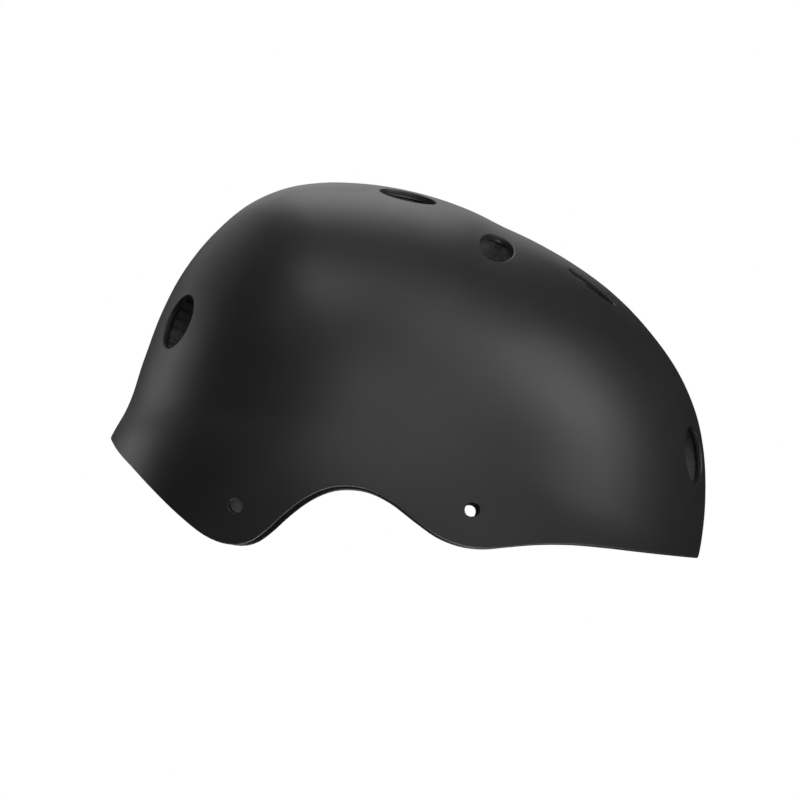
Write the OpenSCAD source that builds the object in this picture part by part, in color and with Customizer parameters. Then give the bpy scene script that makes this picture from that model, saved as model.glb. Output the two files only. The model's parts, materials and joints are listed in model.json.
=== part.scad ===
// Open-face scooter helmet: moulded shell, foam liner, comfort pads and a rear dial that
// draws a head belt in. It stands on its two rear lobes and its brow edge, front towards +X.
// The origin is on that plane, below the middle of the shell's length.

/* [Shell] */
// Length from the nape's tip to the forehead
shell_l = 283.2; // [255:0.2:305]
// Width over the sides
shell_w = 224; // [210:1:245]
// Height of the crown above the plane it stands on
shell_h = 173.8; // [160:0.2:190]
// Wall of the moulded shell
shell_wall = 3; // [2:0.1:4]
// Squareness of the sides, where 2 is an ellipse
side_square = 2.45; // [2.2:0.05:2.8]

/* [Vents] */
// Diameter of the round vents
vent_d = 27; // [20:0.5:30]
// Diameter of the middle vent on the crown
mid_vent_d = 22; // [14:0.5:26]
// Width of the oval vents on the shoulders, front to back
side_vent_w = 16.4; // [10:0.2:20]
// Length of those oval vents, down the shoulder
side_vent_l = 29; // [18:0.5:32]
// Width of the narrow vents above the forehead
brow_vent_w = 12; // [8:0.5:20]
// How much wider the tunnels in the foam are than the vents
tunnel_extra = 2; // [0:0.5:4]

/* [Strap holes] */
// Diameter of the four holes where a chin strap is fastened
strap_hole_d = 7; // [5:0.1:9]
// Width of the notches in the foam behind those holes
strap_notch_w = 17; // [14:0.5:22]

/* [Foam liner] */
// Thickness of the foam
liner_t = 21; // [16:0.5:24]
// Clearance between the shell and the foam
liner_gap = 0.5; // [0.3:0.05:0.8]
// Height of the foam's edge above the shell's rim
liner_lift = 6; // [4:0.5:8]
// Extra lift of that edge at the nape
nape_lift = 8; // [5:0.5:10]

/* [Pads] */
// Thickness of the comfort pads at their crown
pad_t = 8; // [6:0.5:10]
// Thickness of their pressed edge
pad_edge_t = 2; // [1.5:0.1:3]
// Gap between the foam and a pad's back, filled by the hook patches
pad_gap = 1; // [0.9:0.05:1.3]
// Diameter of the hook patches
patch_d = 18; // [14:0.5:20]
// Thickness of the hook patches
patch_t = 1.5; // [1.2:0.1:1.8]
// Depth of the round recesses that hold them
patch_sink = 0.8; // [0.6:0.1:1]

/* [Dial] */
// Height of the dial's axle above the plane the helmet stands on
dial_z = 36; // [34:0.5:40]
// Gap between the foam's inner face and the carrier, measured beside the racks' ends
carrier_gap = 8.8; // [7.6:0.1:12]
// Diameter of the knob
knob_d = 30; // [27:0.5:32]
// Depth of the knob
knob_t = 9; // [8:0.5:10]
// Number of teeth on the pinion
pinion_teeth = 12; // [12:2:14]
// Tooth size, as pitch diameter for each tooth
tooth_module = 1; // [0.9:0.05:1.1]
// Length that each rack runs in when the dial goes from loose to tight
rack_travel = 12.5; // [10:0.5:14]
// Play between moving plastic faces
play = 0.3; // [0.2:0.05:0.4]

/* [Carrier] */
// Width of the carrier, side to side
carrier_w = 60; // [58:1:62]
// Height of the carrier
carrier_h = 25; // [24:0.5:28]
// Thickness of its plate and of its cover
plate_t = 2.2; // [2:0.1:3]
// Thickness of the racks
rack_t = 2.4; // [2:0.1:3]

/* [Belt] */
// Height of the belt
belt_h = 11; // [9:0.5:13]
// Thickness of the belt
belt_t = 1.6; // [1.4:0.1:2]
// Diameter of the studs that the belt is buttoned on
stud_d = 5.6; // [5:0.1:6.5]

/* [Hidden] */
$fn = 48;

// Length and height at which the outlines and the vents' places below are drawn
drawn_l = 283.2;
drawn_h = 173.8;
// Middle that the side outline turns about, where the helmet is widest
drawn_hub = [-11.3, 57];
// Side outline along the middle as x and z: from straight below the hub over brow, crown and
// nape and back. Below the rim it only shapes the lobes.
side_outline = [
    [-11, -94], [27, -88], [77, -69], [113, -40], [138.8, 0], [141, 15], [141.6, 32],
    [140.5, 49], [137, 66], [130, 83], [112, 108.3], [94.5, 125.3], [77, 137.6], [60, 147],
    [42.5, 155], [25, 162.8], [8, 168.3], [-9, 171.9], [-26.5, 173.7], [-43.5, 173.6],
    [-60.5, 170.7], [-77.5, 163.1], [-94, 149], [-110.5, 127], [-118.7, 110], [-126.7, 87],
    [-134.6, 62.7], [-141.6, 49.2], [-147.5, 20.5], [-131, -27], [-86, -73]
];
// The rim in side view, from the nape over the rear lobe, the ear arch and the front lobe
rim_outline = [
    [-141.6, 49.2], [-139, 45.4], [-129.3, 35], [-117.3, 23], [-105.6, 12.5], [-94, 4],
    [-88.4, 1.5], [-82.5, 0.2], [-77, 0.3], [-71.5, 2.2], [-66, 6.3], [-58, 14], [-47, 22.8],
    [-36, 27.8], [-27.5, 28.7], [-19, 27.6], [-8, 22.7], [3.4, 14.4], [14.8, 6.7], [26, 2.6],
    [37.3, 1.5], [48.4, 2.7], [62.3, 4.2], [79, 4.7], [96, 3.7], [113.5, 2.1], [131, 0.6],
    [138.8, 0]
];
// Places of the vents and strap holes in side view, as x and z
front_vent = [135.5, 48.7];
brow_vent = [84.7, 127.3];
side_vent = [39.2, 143.5];
top_vent = [-3.2, 166.7];
rear_vent = [-110.4, 104.8];
front_strap_hole = [30.4, 19.5];
rear_strap_hole = [-79.7, 18.3];
// Direction from the hub to the middle vent, above level
mid_vent_rise = 61.7;

fx = shell_l / drawn_l;
fz = shell_h / drawn_h;
hub = [drawn_hub[0] * fx, 0, drawn_hub[1] * fz];
half_w = shell_w / 2;
foam_depth = shell_wall + liner_gap;
head_depth = foam_depth + liner_t;
pad_depth = head_depth + pad_gap;
full_turn = 360;

// Columns round half the shell, and rows from the crown to the rim
half_cols = 36;
shell_rows = 20;
liner_rows = 10;
col_turn = 180 / half_cols;

// Radius of the shell's rim edge, and of the foam's inner edge
rim_round = 0.8;
foam_round = 4;

// Smooth curve through points given as [key, value], in rising order of key
function slope_at(pts, i) =
    i == 0 ? (pts[1][1] - pts[0][1]) / (pts[1][0] - pts[0][0])
    : i == len(pts) - 1 ? (pts[i][1] - pts[i - 1][1]) / (pts[i][0] - pts[i - 1][0])
    : let (before = pts[i][0] - pts[i - 1][0], after = pts[i + 1][0] - pts[i][0])
        ((pts[i][1] - pts[i - 1][1]) / before * after
            + (pts[i + 1][1] - pts[i][1]) / after * before) / (before + after);
function with_slopes(pts) = [for (i = [0:len(pts) - 1]) [pts[i][0], pts[i][1], slope_at(pts, i)]];
function span_of(curve, key, i = 0) =
    key < curve[i + 1][0] || i == len(curve) - 2 ? i : span_of(curve, key, i + 1);
function along(curve, key) =
    let (
        i = span_of(curve, key),
        a = curve[i],
        b = curve[i + 1],
        w = b[0] - a[0],
        t = (key - a[0]) / w
    )
    key < a[0] ? a[1] + a[2] * (key - a[0])
    : t > 1 ? b[1] + b[2] * (key - b[0])
    : (2 * t ^ 3 - 3 * t ^ 2 + 1) * a[1] + (t ^ 3 - 2 * t ^ 2 + t) * w * a[2]
        + (3 * t ^ 2 - 2 * t ^ 3) * b[1] + (t ^ 3 - t ^ 2) * w * b[2];

// The side outline as reach from the hub against direction
function scaled(p) = [p[0] * fx, p[1] * fz];
function bearing(x, z) = let (a = atan2(z, x)) a < -91 ? a + full_turn : a;
outline_reach = [
    for (p = side_outline)
        let (x = p[0] * fx - hub[0], z = p[1] * fz - hub[2]) [bearing(x, z), norm([x, z])]
];
reach_curve = with_slopes(concat(
    outline_reach, [[outline_reach[0][0] + full_turn, outline_reach[0][1]]]
));
rim_curve = with_slopes([for (p = rim_outline) scaled(p)]);
function outline_at(a) = along(reach_curve, a);

// The shell's outer skin: (r / outline) ^ side_square + (y / half_w) ^ 2 = 1 about the hub.
// phi turns round from the front, psi down from the zenith, depth goes in from the skin.
function stretch(u, v, k, steps) =
    steps == 0 ? k
    : stretch(
        u, v,
        k - ((k * u) ^ side_square + (k * v) ^ 2 - 1)
            / (side_square * u * (k * u) ^ (side_square - 1) + 2 * k * v ^ 2),
        steps - 1
    );
probe = 0.2;
function facing(p) =
    let (
        x = p[0] - hub[0],
        z = p[2] - hub[2],
        r = max(norm([x, z]), 0.001),
        a = bearing(x, z),
        outline = outline_at(a),
        growth = (outline_at(a + probe) - outline_at(a - probe)) / (2 * probe) * 180 / PI,
        share = side_square * (r / outline) ^ side_square / r ^ 2,
        turn = share * growth / outline,
        g = [share * x + turn * z, 2 * p[1] / half_w ^ 2, share * z - turn * x]
    )
    g / norm(g);
function skin(phi, psi, depth = 0) =
    let (
        d = [sin(psi) * cos(phi), sin(psi) * sin(phi), cos(psi)],
        u = max(norm([d[0], d[2]]), 0.001) / outline_at(bearing(d[0], d[2])),
        v = abs(d[1]) / half_w,
        p = hub + stretch(u, v, 1 / norm([u, v]), 6) * d
    )
    depth == 0 ? p : p - depth * facing(p);
// Point of the skin on the left side, given in side view
function side_point(place) =
    let (p = scaled(place), x = p[0] - hub[0], z = p[1] - hub[2])
    [
        p[0],
        half_w * sqrt(1 - (norm([x, z]) / outline_at(bearing(x, z))) ^ side_square),
        p[1]
    ];
function mirrored(p) = [p[0], -p[1], p[2]];

// Turn from the zenith down to the rim, or to a line that lies lift above it, halving the
// stretch between the least and the most turn that it can have
least_turn = 50;
most_turn = 150;
function rim_turn(phi, lift, low = least_turn, high = most_turn, steps = 20) =
    let (mid = (low + high) / 2, p = skin(phi, mid))
    steps == 0 ? mid
    : p[2] > along(rim_curve, p[0]) + lift ? rim_turn(phi, lift, mid, high, steps - 1)
    : rim_turn(phi, lift, low, mid, steps - 1);
function foam_lift(phi) = liner_lift + nape_lift * max(0, -cos(phi)) ^ 6;
columns = [for (i = [0:half_cols]) i * col_turn];
shell_turns = [for (phi = columns) rim_turn(phi, 0)];
foam_turns = [for (phi = columns) rim_turn(phi, foam_lift(phi))];
foam_edge = with_slopes([for (i = [0:half_cols]) [columns[i], foam_turns[i]]]);
function degrees_for(length, reach = half_w) = length / reach * 180 / PI;

// Rings of points round the helmet, the left half worked out and the right half mirrored
function ring(turns, share, depth, back = 0) =
    let (half = [
        for (i = [0:half_cols]) skin(columns[i], turns[i] * share - degrees_for(back), depth)
    ])
    concat(half, [for (i = [half_cols - 1:-1:1]) mirrored(half[i])]);

// Closed solid through rings of equal length, with an end point beyond the first and last ring
module ring_solid(first, rings, last) {
    n = len(rings[0]);
    top = len(rings) * n + 1;
    polyhedron(
        points = concat([first], [for (r = rings) each r], [last]),
        faces = concat(
            [for (i = [0:n - 1]) [0, 1 + (i + 1) % n, 1 + i]],
            [
                for (k = [0:len(rings) - 2]) for (i = [0:n - 1])
                    let (a = 1 + k * n + i, b = 1 + k * n + (i + 1) % n)
                    each [[a, b, b + n], [a, b + n, a + n]]
            ],
            [for (i = [0:n - 1]) [top, top - n + i, top - n + (i + 1) % n]]
        ),
        convexity = 8
    );
}

module outer_shell_form() {
    inner = shell_wall;
    ring_solid(
        skin(0, 0),
        concat(
            [for (k = [1:shell_rows - 1]) ring(shell_turns, k / shell_rows, 0)],
            [
                ring(shell_turns, 1, 0, rim_round),
                ring(shell_turns, 1, rim_round),
                ring(shell_turns, 1, inner - rim_round),
                ring(shell_turns, 1, inner, rim_round)
            ],
            [for (k = [shell_rows - 1:-1:1]) ring(shell_turns, k / shell_rows, inner)]
        ),
        skin(0, 0, inner)
    );
}

module foam_form() {
    ring_solid(
        skin(0, 0, foam_depth),
        concat(
            [for (k = [1:shell_rows - 2]) ring(shell_turns, k / shell_rows, foam_depth)],
            [
                ring(foam_turns, 1, foam_depth),
                ring(foam_turns, 1, head_depth - foam_round),
                ring(foam_turns, 1, head_depth - foam_round / 4, foam_round / 4),
                ring(foam_turns, 1, head_depth, foam_round)
            ],
            [for (k = [liner_rows - 1:-1:1]) ring(foam_turns, k / liner_rows, head_depth)]
        ),
        skin(0, 0, head_depth)
    );
}

// Puts children on the skin at p, with +Z outwards and +X forwards along the helmet's side
module stand_at(p, way) {
    u = cross([0, 1, 0], way) / norm(cross([0, 1, 0], way));
    v = cross(way, u);
    multmatrix([
        [u[0], v[0], way[0], p[0]],
        [u[1], v[1], way[1], p[1]],
        [u[2], v[2], way[2], p[2]],
        [0, 0, 0, 1]
    ]) children();
}
module both_sides() {
    children();
    mirror([0, 1, 0]) children();
}

// Corners of an oval, as many as a circle has by default
function oval(a, b) = [
    for (i = [0:$fn - 1]) let (t = i * full_turn / $fn) [a * cos(t), b * sin(t)]
];

// Solids that cut the vents, extra wider than the vents and down to depth
module vent_cuts(extra, depth) {
    above = 10; // clear of the skin's bulge across the widest vent
    tall = depth + above;
    both_sides() {
        for (place = [front_vent, top_vent, rear_vent]) {
            p = side_point(place);
            stand_at(p, facing(p)) translate([0, 0, -depth]) cylinder(d = vent_d + extra, h = tall);
        }
        stand_at(side_point(brow_vent), facing(side_point(brow_vent)))
            translate([0, 0, -depth])
            linear_extrude(tall)
            polygon(oval((vent_d + extra) / 2, (brow_vent_w + extra) / 2));
        stand_at(side_point(side_vent), facing(side_point(side_vent)))
            translate([0, 0, -depth])
            linear_extrude(tall)
            polygon(oval((side_vent_w + extra) / 2, (side_vent_l + extra) / 2));
    }
    crown = hub + outline_at(mid_vent_rise) * [cos(mid_vent_rise), 0, sin(mid_vent_rise)];
    stand_at(crown, facing(crown))
        translate([0, 0, -depth])
        cylinder(d = mid_vent_d + extra, h = tall);
}

module outer_shell() {
    through = shell_wall + 4;
    color([0.1, 0.1, 0.105])
    difference() {
        outer_shell_form();
        vent_cuts(0, through);
        both_sides()
            for (place = [front_strap_hole, rear_strap_hole]) {
                p = side_point(place);
                stand_at(p, facing(p))
                    translate([0, 0, -through])
                    cylinder(d = strap_hole_d, h = 2 * through);
            }
    }
}

// Notch in the foam from a strap hole down through its edge
notch_over = 6;
module strap_notch(place) {
    p = side_point(place);
    deep = liner_t + foam_depth + 2 * notch_over;
    low = p[2] + notch_over;
    translate([p[0], p[1] + notch_over, p[2]]) rotate([90, 0, 0]) {
        cylinder(d = strap_notch_w, h = deep);
        translate([-strap_notch_w / 2, -low, 0]) cube([strap_notch_w, low, deep]);
    }
}

// Flat seats in the foam: its inner face curves, so what is fixed there sits in a round recess
seat_sink = 0.8;
plug_d = 8;
plug_l = 12;
flange_d = 16;
flange_t = 2;
temple_turn = [67, 93];
temple = let (p = skin(temple_turn[0], temple_turn[1], head_depth)) [p[0], p[1] + seat_sink, p[2]];
hanger_turn = [180, 77];

// Outlines of the pads as turns [phi, psi] for u and v from -1 to 1
brow_span = 50;
brow_h = 21;
brow_margin = 3;
brow_reach = shell_l / 2 - head_depth;
function brow_spot(u, v) =
    let (phi = u * brow_span)
    [
        phi,
        along(foam_edge, abs(phi))
            - degrees_for(brow_margin + brow_h * (1 + v) / 2, brow_reach)
    ];
crown_reach = shell_h - hub[2] - head_depth;
crown_pad_x = -36;
crown_pad_l = 54;
crown_pad_w = 62;
function crown_spot(u, v) =
    let (x = crown_pad_x + u * crown_pad_l / 2, y = v * crown_pad_w / 2)
    [atan2(y, x), atan2(norm([x, y]), crown_reach)];
side_turn = [95, 76];
side_span = [24, 9.5];
function side_spot(u, v) = [side_turn[0] + u * side_span[0], side_turn[1] - v * side_span[1]];
rear_turn = [180, 57];
rear_span = [12.5, 11];
function rear_spot(u, v) = [rear_turn[0] + u * rear_span[0], rear_turn[1] - v * rear_span[1]];

// Square of u and v with its corners drawn in
corner_draw = 0.3;
function rounded(u, v) = [u * sqrt(1 - corner_draw * v ^ 2), v * sqrt(1 - corner_draw * u ^ 2)];
// Share of the crown height that a padded form has at u and v, with pressed channels across it
channel_deep = 0.8;
channel_w = 0.07;
function crowned(u, v, channels) =
    let (
        fall = sqrt(max(0, 1 - u ^ 8)) * sqrt(max(0, 1 - v ^ 4)),
        dips = [for (c = channels) 1 - channel_deep * exp(-((u - c) / channel_w) ^ 2)]
    )
    fall * (len(dips) == 0 ? 1 : min(dips));

// Closed solid between two sheets of points, each a function of u and v from -1 to 1
module sheet_solid(nu, nv, front, back) {
    wide = nu + 1;
    count = wide * (nv + 1);
    rows = [for (j = [0:nv]) -1 + 2 * j / nv];
    cols = [for (i = [0:nu]) -1 + 2 * i / nu];
    edge = concat(
        [for (i = [0:nu]) i],
        [for (j = [1:nv]) j * wide + nu],
        [for (i = [nu - 1:-1:0]) nv * wide + i],
        [for (j = [nv - 1:-1:1]) j * wide]
    );
    polyhedron(
        points = concat(
            [for (v = rows) for (u = cols) front(u, v)],
            [for (v = rows) for (u = cols) back(u, v)]
        ),
        faces = concat(
            [
                for (j = [0:nv - 1]) for (i = [0:nu - 1])
                    let (a = j * wide + i, b = a + wide)
                    each [[a, a + 1, b + 1], [a, b + 1, b]]
            ],
            [
                for (j = [0:nv - 1]) for (i = [0:nu - 1])
                    let (a = count + j * wide + i, b = a + wide)
                    each [[a, b + 1, a + 1], [a, b, b + 1]]
            ],
            [
                for (k = [0:len(edge) - 1])
                    let (a = edge[k], b = edge[(k + 1) % len(edge)])
                    each [[a, a + count, b + count], [a, b + count, b]]
            ]
        ),
        convexity = 6
    );
}
// Comfort pad on the foam: spot gives its outline, channels are the lines pressed across it
module comfort_pad(nu, nv, spot, channels) {
    sheet_solid(
        nu, nv,
        function(u, v)
            let (r = rounded(u, v), s = spot(r[0], r[1]))
            skin(
                s[0], s[1],
                pad_depth + pad_edge_t + (pad_t - pad_edge_t) * crowned(u, v, channels)
            ),
        function(u, v) let (r = rounded(u, v), s = spot(r[0], r[1])) skin(s[0], s[1], pad_depth)
    );
}
pad_colour = [0.13, 0.13, 0.14];
module brow_pad() {
    color(pad_colour) comfort_pad(24, 6, function(u, v) brow_spot(u, v), [-1 / 3, 1 / 3]);
}
module crown_pad() {
    color(pad_colour) comfort_pad(12, 10, function(u, v) crown_spot(u, v), [0]);
}
module left_side_pad() {
    color(pad_colour) comfort_pad(12, 6, function(u, v) side_spot(u, v), [0]);
}
module right_side_pad() {
    mirror([0, 1, 0]) left_side_pad();
}
module rear_pad() {
    color(pad_colour) comfort_pad(8, 6, function(u, v) rear_spot(u, v), []);
}

// Hook patches behind the pads, in round recesses of the foam, as shares of each pad's size
brow_patches = [-0.62, 0, 0.62];
crown_patches = [[0.4, -0.5], [0.4, 0.5], [-0.45, 0]];
side_patches = [-0.55, 0.55];
patch_spots = concat(
    [for (u = brow_patches) brow_spot(u, 0)],
    [for (c = crown_patches) crown_spot(c[0], c[1])],
    [rear_spot(0, 0)],
    [for (u = side_patches) side_spot(u, 0)],
    [for (u = side_patches) let (s = side_spot(u, 0)) [-s[0], s[1]]]
);
module at_patches() {
    for (s = patch_spots)
        stand_at(skin(s[0], s[1], head_depth), facing(skin(s[0], s[1])))
            translate([0, 0, patch_sink])
            children();
}
module hook_patches() {
    color([0.2, 0.2, 0.21])
    at_patches()
        translate([0, 0, -patch_t])
        cylinder(d = patch_d, h = patch_t);
}

// Puts children on the foam's inner face behind the dial, with +Z into the foam
module at_hanger_seat() {
    stand_at(
        skin(hanger_turn[0], hanger_turn[1], head_depth),
        facing(skin(hanger_turn[0], hanger_turn[1]))
    )
        translate([0, 0, seat_sink])
        children();
}
// Puts children at the left temple, with +Z out of the foam towards the head
module at_temple() {
    translate(temple) rotate([90, 0, 0]) children();
}

module foam_liner() {
    clear = 10;
    color([0.16, 0.16, 0.17])
    difference() {
        foam_form();
        vent_cuts(tunnel_extra, head_depth + clear);
        both_sides() {
            strap_notch(front_strap_hole);
            strap_notch(rear_strap_hole);
            at_temple() {
                cylinder(d = flange_d + play, h = clear);
                translate([0, 0, -plug_l]) cylinder(d = plug_d, h = plug_l + clear);
            }
        }
        at_patches() translate([0, 0, -clear]) cylinder(d = patch_d + play, h = clear);
        at_hanger_seat() {
            translate([0, 0, -clear]) cylinder(d = flange_d + play, h = clear);
            translate([0, 0, -clear]) cylinder(d = plug_d, h = plug_l + clear);
        }
    }
}

// Dial frame: +X up, +Y to the left, +Z rearwards from the carrier's face towards the head
module at_dial() {
    translate([carrier_x, 0, dial_z]) rotate([0, -90, 0]) children();
}
rack_low = plate_t + play;
rack_high = rack_low + rack_t;
cover_low = rack_high + play;
cover_high = cover_low + plate_t;
knob_low = cover_high + play;
knob_high = knob_low + knob_t;

// Teeth: involute pinion and straight-sided racks with a pressure angle of 25 degrees
pressure = 25;
addendum = 0.9 * tooth_module;
dedendum = 1.15 * tooth_module;
backlash = 0.06;
pitch_r = pinion_teeth * tooth_module / 2;
base_r = pitch_r * cos(pressure);
function opening(a) = tan(a) * 180 / PI - a;
function tooth_half(r) =
    90 / pinion_teeth - backlash / pitch_r * 180 / PI + opening(pressure)
        - opening(acos(min(1, base_r / r)));
function on_circle(r, a) = [r * cos(a), r * sin(a)];
flank = [for (k = [0:5]) base_r + (pitch_r + addendum - base_r) * k / 5];
module pinion_plan() {
    polygon([
        for (i = [0:pinion_teeth - 1])
            let (mid = i * full_turn / pinion_teeth)
            each concat(
                [on_circle(pitch_r - dedendum, mid - tooth_half(base_r))],
                [for (r = flank) on_circle(r, mid - tooth_half(r))],
                [for (k = [5:-1:0]) on_circle(flank[k], mid + tooth_half(flank[k]))],
                [on_circle(pitch_r - dedendum, mid + tooth_half(base_r))]
            )
    ]);
}
rack_back = 2.6;
rack_outer = pitch_r + dedendum + rack_back;
rack_pitch = PI * tooth_module;
// Half width of the rack's tab, its cut corners, and its gap to the carrier when drawn in
tab_half = 4.5;
tab_corner = 2;
arm_corner = 3;
tab_clear = 1;
tab_low = -belt_h / 2;
stud_y = carrier_w / 2 + rack_travel + tab_half + tab_clear;
// Place along X of the carrier's face towards the head
foam_back = skin(180, 90, head_depth)[0] - hub[0];
foam_half = half_w - head_depth;
carrier_x = carrier_gap + hub[0]
    + foam_back * (1 - ((stud_y + tab_half) / foam_half) ^ side_square) ^ (1 / side_square);
// Teeth that a rack keeps past the pinion's middle
rack_past = 1.6;
rack_inner_end = -rack_past * rack_pitch;
rack_teeth = ceil((rack_travel - rack_inner_end) / rack_pitch) + 1;
// Rack of the left belt: teeth below, arm out to the tab that the belt is buttoned on
module rack_plan() {
    tip = pitch_r - addendum;
    root = pitch_r + dedendum;
    half_tip = rack_pitch / 4 - backlash - addendum * tan(pressure);
    half_root = rack_pitch / 4 - backlash + dedendum * tan(pressure);
    polygon(concat(
        [[rack_outer, rack_inner_end], [root, rack_inner_end]],
        [
            for (i = [0:rack_teeth - 1])
                let (mid = rack_pitch * (i - 1) + rack_pitch / 2)
                each [
                    [root, mid - half_root], [tip, mid - half_tip],
                    [tip, mid + half_tip], [root, mid + half_root]
                ]
        ],
        [
            [root, stud_y - tab_half], [tab_low + tab_corner, stud_y - tab_half],
            [tab_low, stud_y - tab_half + tab_corner], [tab_low, stud_y + tab_half - tab_corner],
            [tab_low + tab_corner, stud_y + tab_half], [rack_outer - arm_corner, stud_y + tab_half],
            [rack_outer, stud_y + tab_half - arm_corner]
        ]
    ));
}
belt_gap = play / 3;
cap_d = stud_d + 2.4;
cap_t = 1;
// Stud with a snap cap, rising along +Z
module stud() {
    cylinder(d = stud_d, h = belt_t + 2 * belt_gap);
    translate([0, 0, belt_t + 2 * belt_gap]) cylinder(d = cap_d, h = cap_t);
}
module rack() {
    translate([0, 0, rack_low]) linear_extrude(rack_t) rack_plan();
    translate([0, stud_y, rack_low]) mirror([0, 0, 1]) stud();
}
rack_colour = [0.22, 0.22, 0.23];
module left_rack() {
    color(rack_colour) at_dial() rack();
}
module right_rack() {
    color(rack_colour) at_dial() rotate([0, 0, 180]) rack();
}

post_d = 5;
hub_d = 9;
hex_w = 7;
hex_l = 3;
screw_d = 2.5;
// Web of the knob under the screw's head, and how far the post stops short of its top
web_t = 1.5;
post_short = 0.2;
// Floor left under the screws' holes
screw_floor = 1;
module dial_pinion() {
    color([0.75, 0.75, 0.72])
    at_dial()
    difference() {
        union() {
            translate([0, 0, rack_low]) linear_extrude(rack_t) pinion_plan();
            translate([0, 0, rack_high]) cylinder(d = hub_d, h = knob_low - rack_high);
            translate([0, 0, knob_low]) cylinder(d = hex_w, h = hex_l, $fn = 6);
        }
        translate([0, 0, rack_low - 1])
            cylinder(d = post_d + play, h = knob_low + hex_l - rack_low + 2);
    }
}

grip_cuts = 16;
grip_cut_d = 4;
notch_count = 24;
notch_d = 1.8;
ring_r = knob_d / 2 - 3;
ring_deep = 4;
boss_d = 13;
head_d = 7.5;
head_t = 2.5;
socket_w = 3;
socket_deep = 1.2;
// Knob, with a hexagon for the pinion, a ring of notches underneath and a fluted rim
module dial_knob() {
    rim = knob_d / 2;
    fillet = 2;
    web = hex_l + web_t;
    color([0.12, 0.12, 0.125])
    at_dial()
    translate([0, 0, knob_low])
    difference() {
        rotate_extrude() polygon(concat(
            [[0, 0], [rim - 0.6, 0], [rim, 0.6]],
            [for (a = [0:15:90]) [rim - fillet + fillet * cos(a), knob_t - fillet + fillet * sin(a)]],
            [[0, knob_t]]
        ));
        for (i = [0:grip_cuts - 1])
            rotate(i * full_turn / grip_cuts)
            translate([rim + grip_cut_d / 4, 0, -1])
            cylinder(d = grip_cut_d, h = knob_t + 2);
        translate([0, 0, -1]) difference() {
            cylinder(r = ring_r, h = ring_deep + 1);
            cylinder(d = boss_d, h = ring_deep + 1);
        }
        for (i = [0:notch_count - 1])
            rotate(i * full_turn / notch_count)
            translate([ring_r, 0, -1])
            cylinder(d = notch_d, h = ring_deep + 1);
        translate([0, 0, -1]) cylinder(d = hex_w + 0.1, h = hex_l + 1.1, $fn = 6);
        translate([0, 0, -1]) cylinder(d = post_d + play, h = web + 2);
        translate([0, 0, web]) cylinder(d = head_d + 2 * play, h = knob_t);
    }
}
post_top = knob_low + hex_l + web_t - post_short;
// Screw that holds the knob: its head bears on the post with the knob's web below it
module dial_screw() {
    tip = plate_t + screw_floor;
    seat = knob_low + hex_l + web_t + play;
    color([0.7, 0.7, 0.72])
    at_dial() {
        translate([0, 0, tip]) cylinder(d = screw_d, h = seat - tip + head_t / 5);
        translate([0, 0, seat]) difference() {
            cylinder(d = head_d, h = head_t);
            translate([0, 0, head_t - socket_deep]) cylinder(d = socket_w, h = head_t, $fn = 6);
        }
    }
}

// Detent: a leaf on the cover whose bump sits in one of the knob's notches
module detent_spring() {
    leaf_r = ring_r - 2.6;
    leaf_t = 0.8;
    reach = 65;
    foot_d = 2.6;
    bump_d = 1.5;
    bump_x = leaf_r + leaf_t / 2 + 1.1;
    tall = ring_deep - 2 * play;
    color([0.75, 0.76, 0.78])
    at_dial()
    translate([0, 0, cover_high])
    linear_extrude(tall) {
        intersection() {
            difference() {
                circle(r = leaf_r + leaf_t / 2);
                circle(r = leaf_r - leaf_t / 2);
            }
            polygon([
                [0, 0], on_circle(ring_r * 2, -reach), [ring_r * 3, 0], on_circle(ring_r * 2, reach)
            ]);
        }
        for (a = [-reach, reach]) translate(on_circle(leaf_r, a)) circle(d = foot_d);
        translate([bump_x, 0]) circle(d = bump_d);
        translate([leaf_r, -bump_d / 3]) square([bump_x - leaf_r, 2 * bump_d / 3]);
    }
}

corner = 5;
module carrier_plan() {
    translate([-carrier_h / 2 + corner, -carrier_w / 2])
        square([carrier_h - 2 * corner, carrier_w]);
    translate([-carrier_h / 2, -carrier_w / 2 + corner])
        square([carrier_h, carrier_w - 2 * corner]);
    for (i = [-1, 1], j = [-1, 1])
        translate([i * (carrier_h / 2 - corner), j * (carrier_w / 2 - corner)])
        circle(r = corner);
}
cover_screw_y = carrier_w / 2 - 9;
// Gap between the pinion's teeth and the blocks that guide the racks
block_gap = 1.5;
tab_w = 18;
tab_h = 9;
hanger_t = 1.8;
// Carrier behind the head: two rails and middle blocks guide the racks past the pinion's post
module dial_carrier() {
    rail = rack_outer + play;
    block_x = pitch_r - addendum - play;
    block_y = pitch_r + addendum + block_gap;
    color([0.17, 0.17, 0.18])
    at_dial() difference() {
        union() {
            linear_extrude(plate_t) carrier_plan();
            intersection() {
                linear_extrude(cover_low) carrier_plan();
                for (side = [-1, 1]) {
                    translate([side > 0 ? rail : -carrier_h / 2, -carrier_w / 2, 0])
                        cube([carrier_h / 2 - rail, carrier_w, cover_low]);
                    translate([-block_x, side > 0 ? block_y : -carrier_w / 2, 0])
                        cube([2 * block_x, carrier_w / 2 - block_y, cover_low]);
                }
            }
            cylinder(d = post_d, h = post_top);
            translate([carrier_h / 2 - 1, -tab_w / 2, 0]) cube([tab_h + 1, tab_w, plate_t]);
            translate([carrier_h / 2 + tab_h / 2, 0, plate_t]) {
                cylinder(d = stud_d, h = hanger_t);
                translate([0, 0, hanger_t]) cylinder(d = cap_d, h = cap_t);
            }
        }
        translate([0, 0, plate_t + screw_floor]) cylinder(d = screw_d, h = post_top);
        for (side = [-1, 1])
            translate([0, side * cover_screw_y, screw_floor])
            cylinder(d = screw_d, h = cover_low);
    }
}
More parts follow.
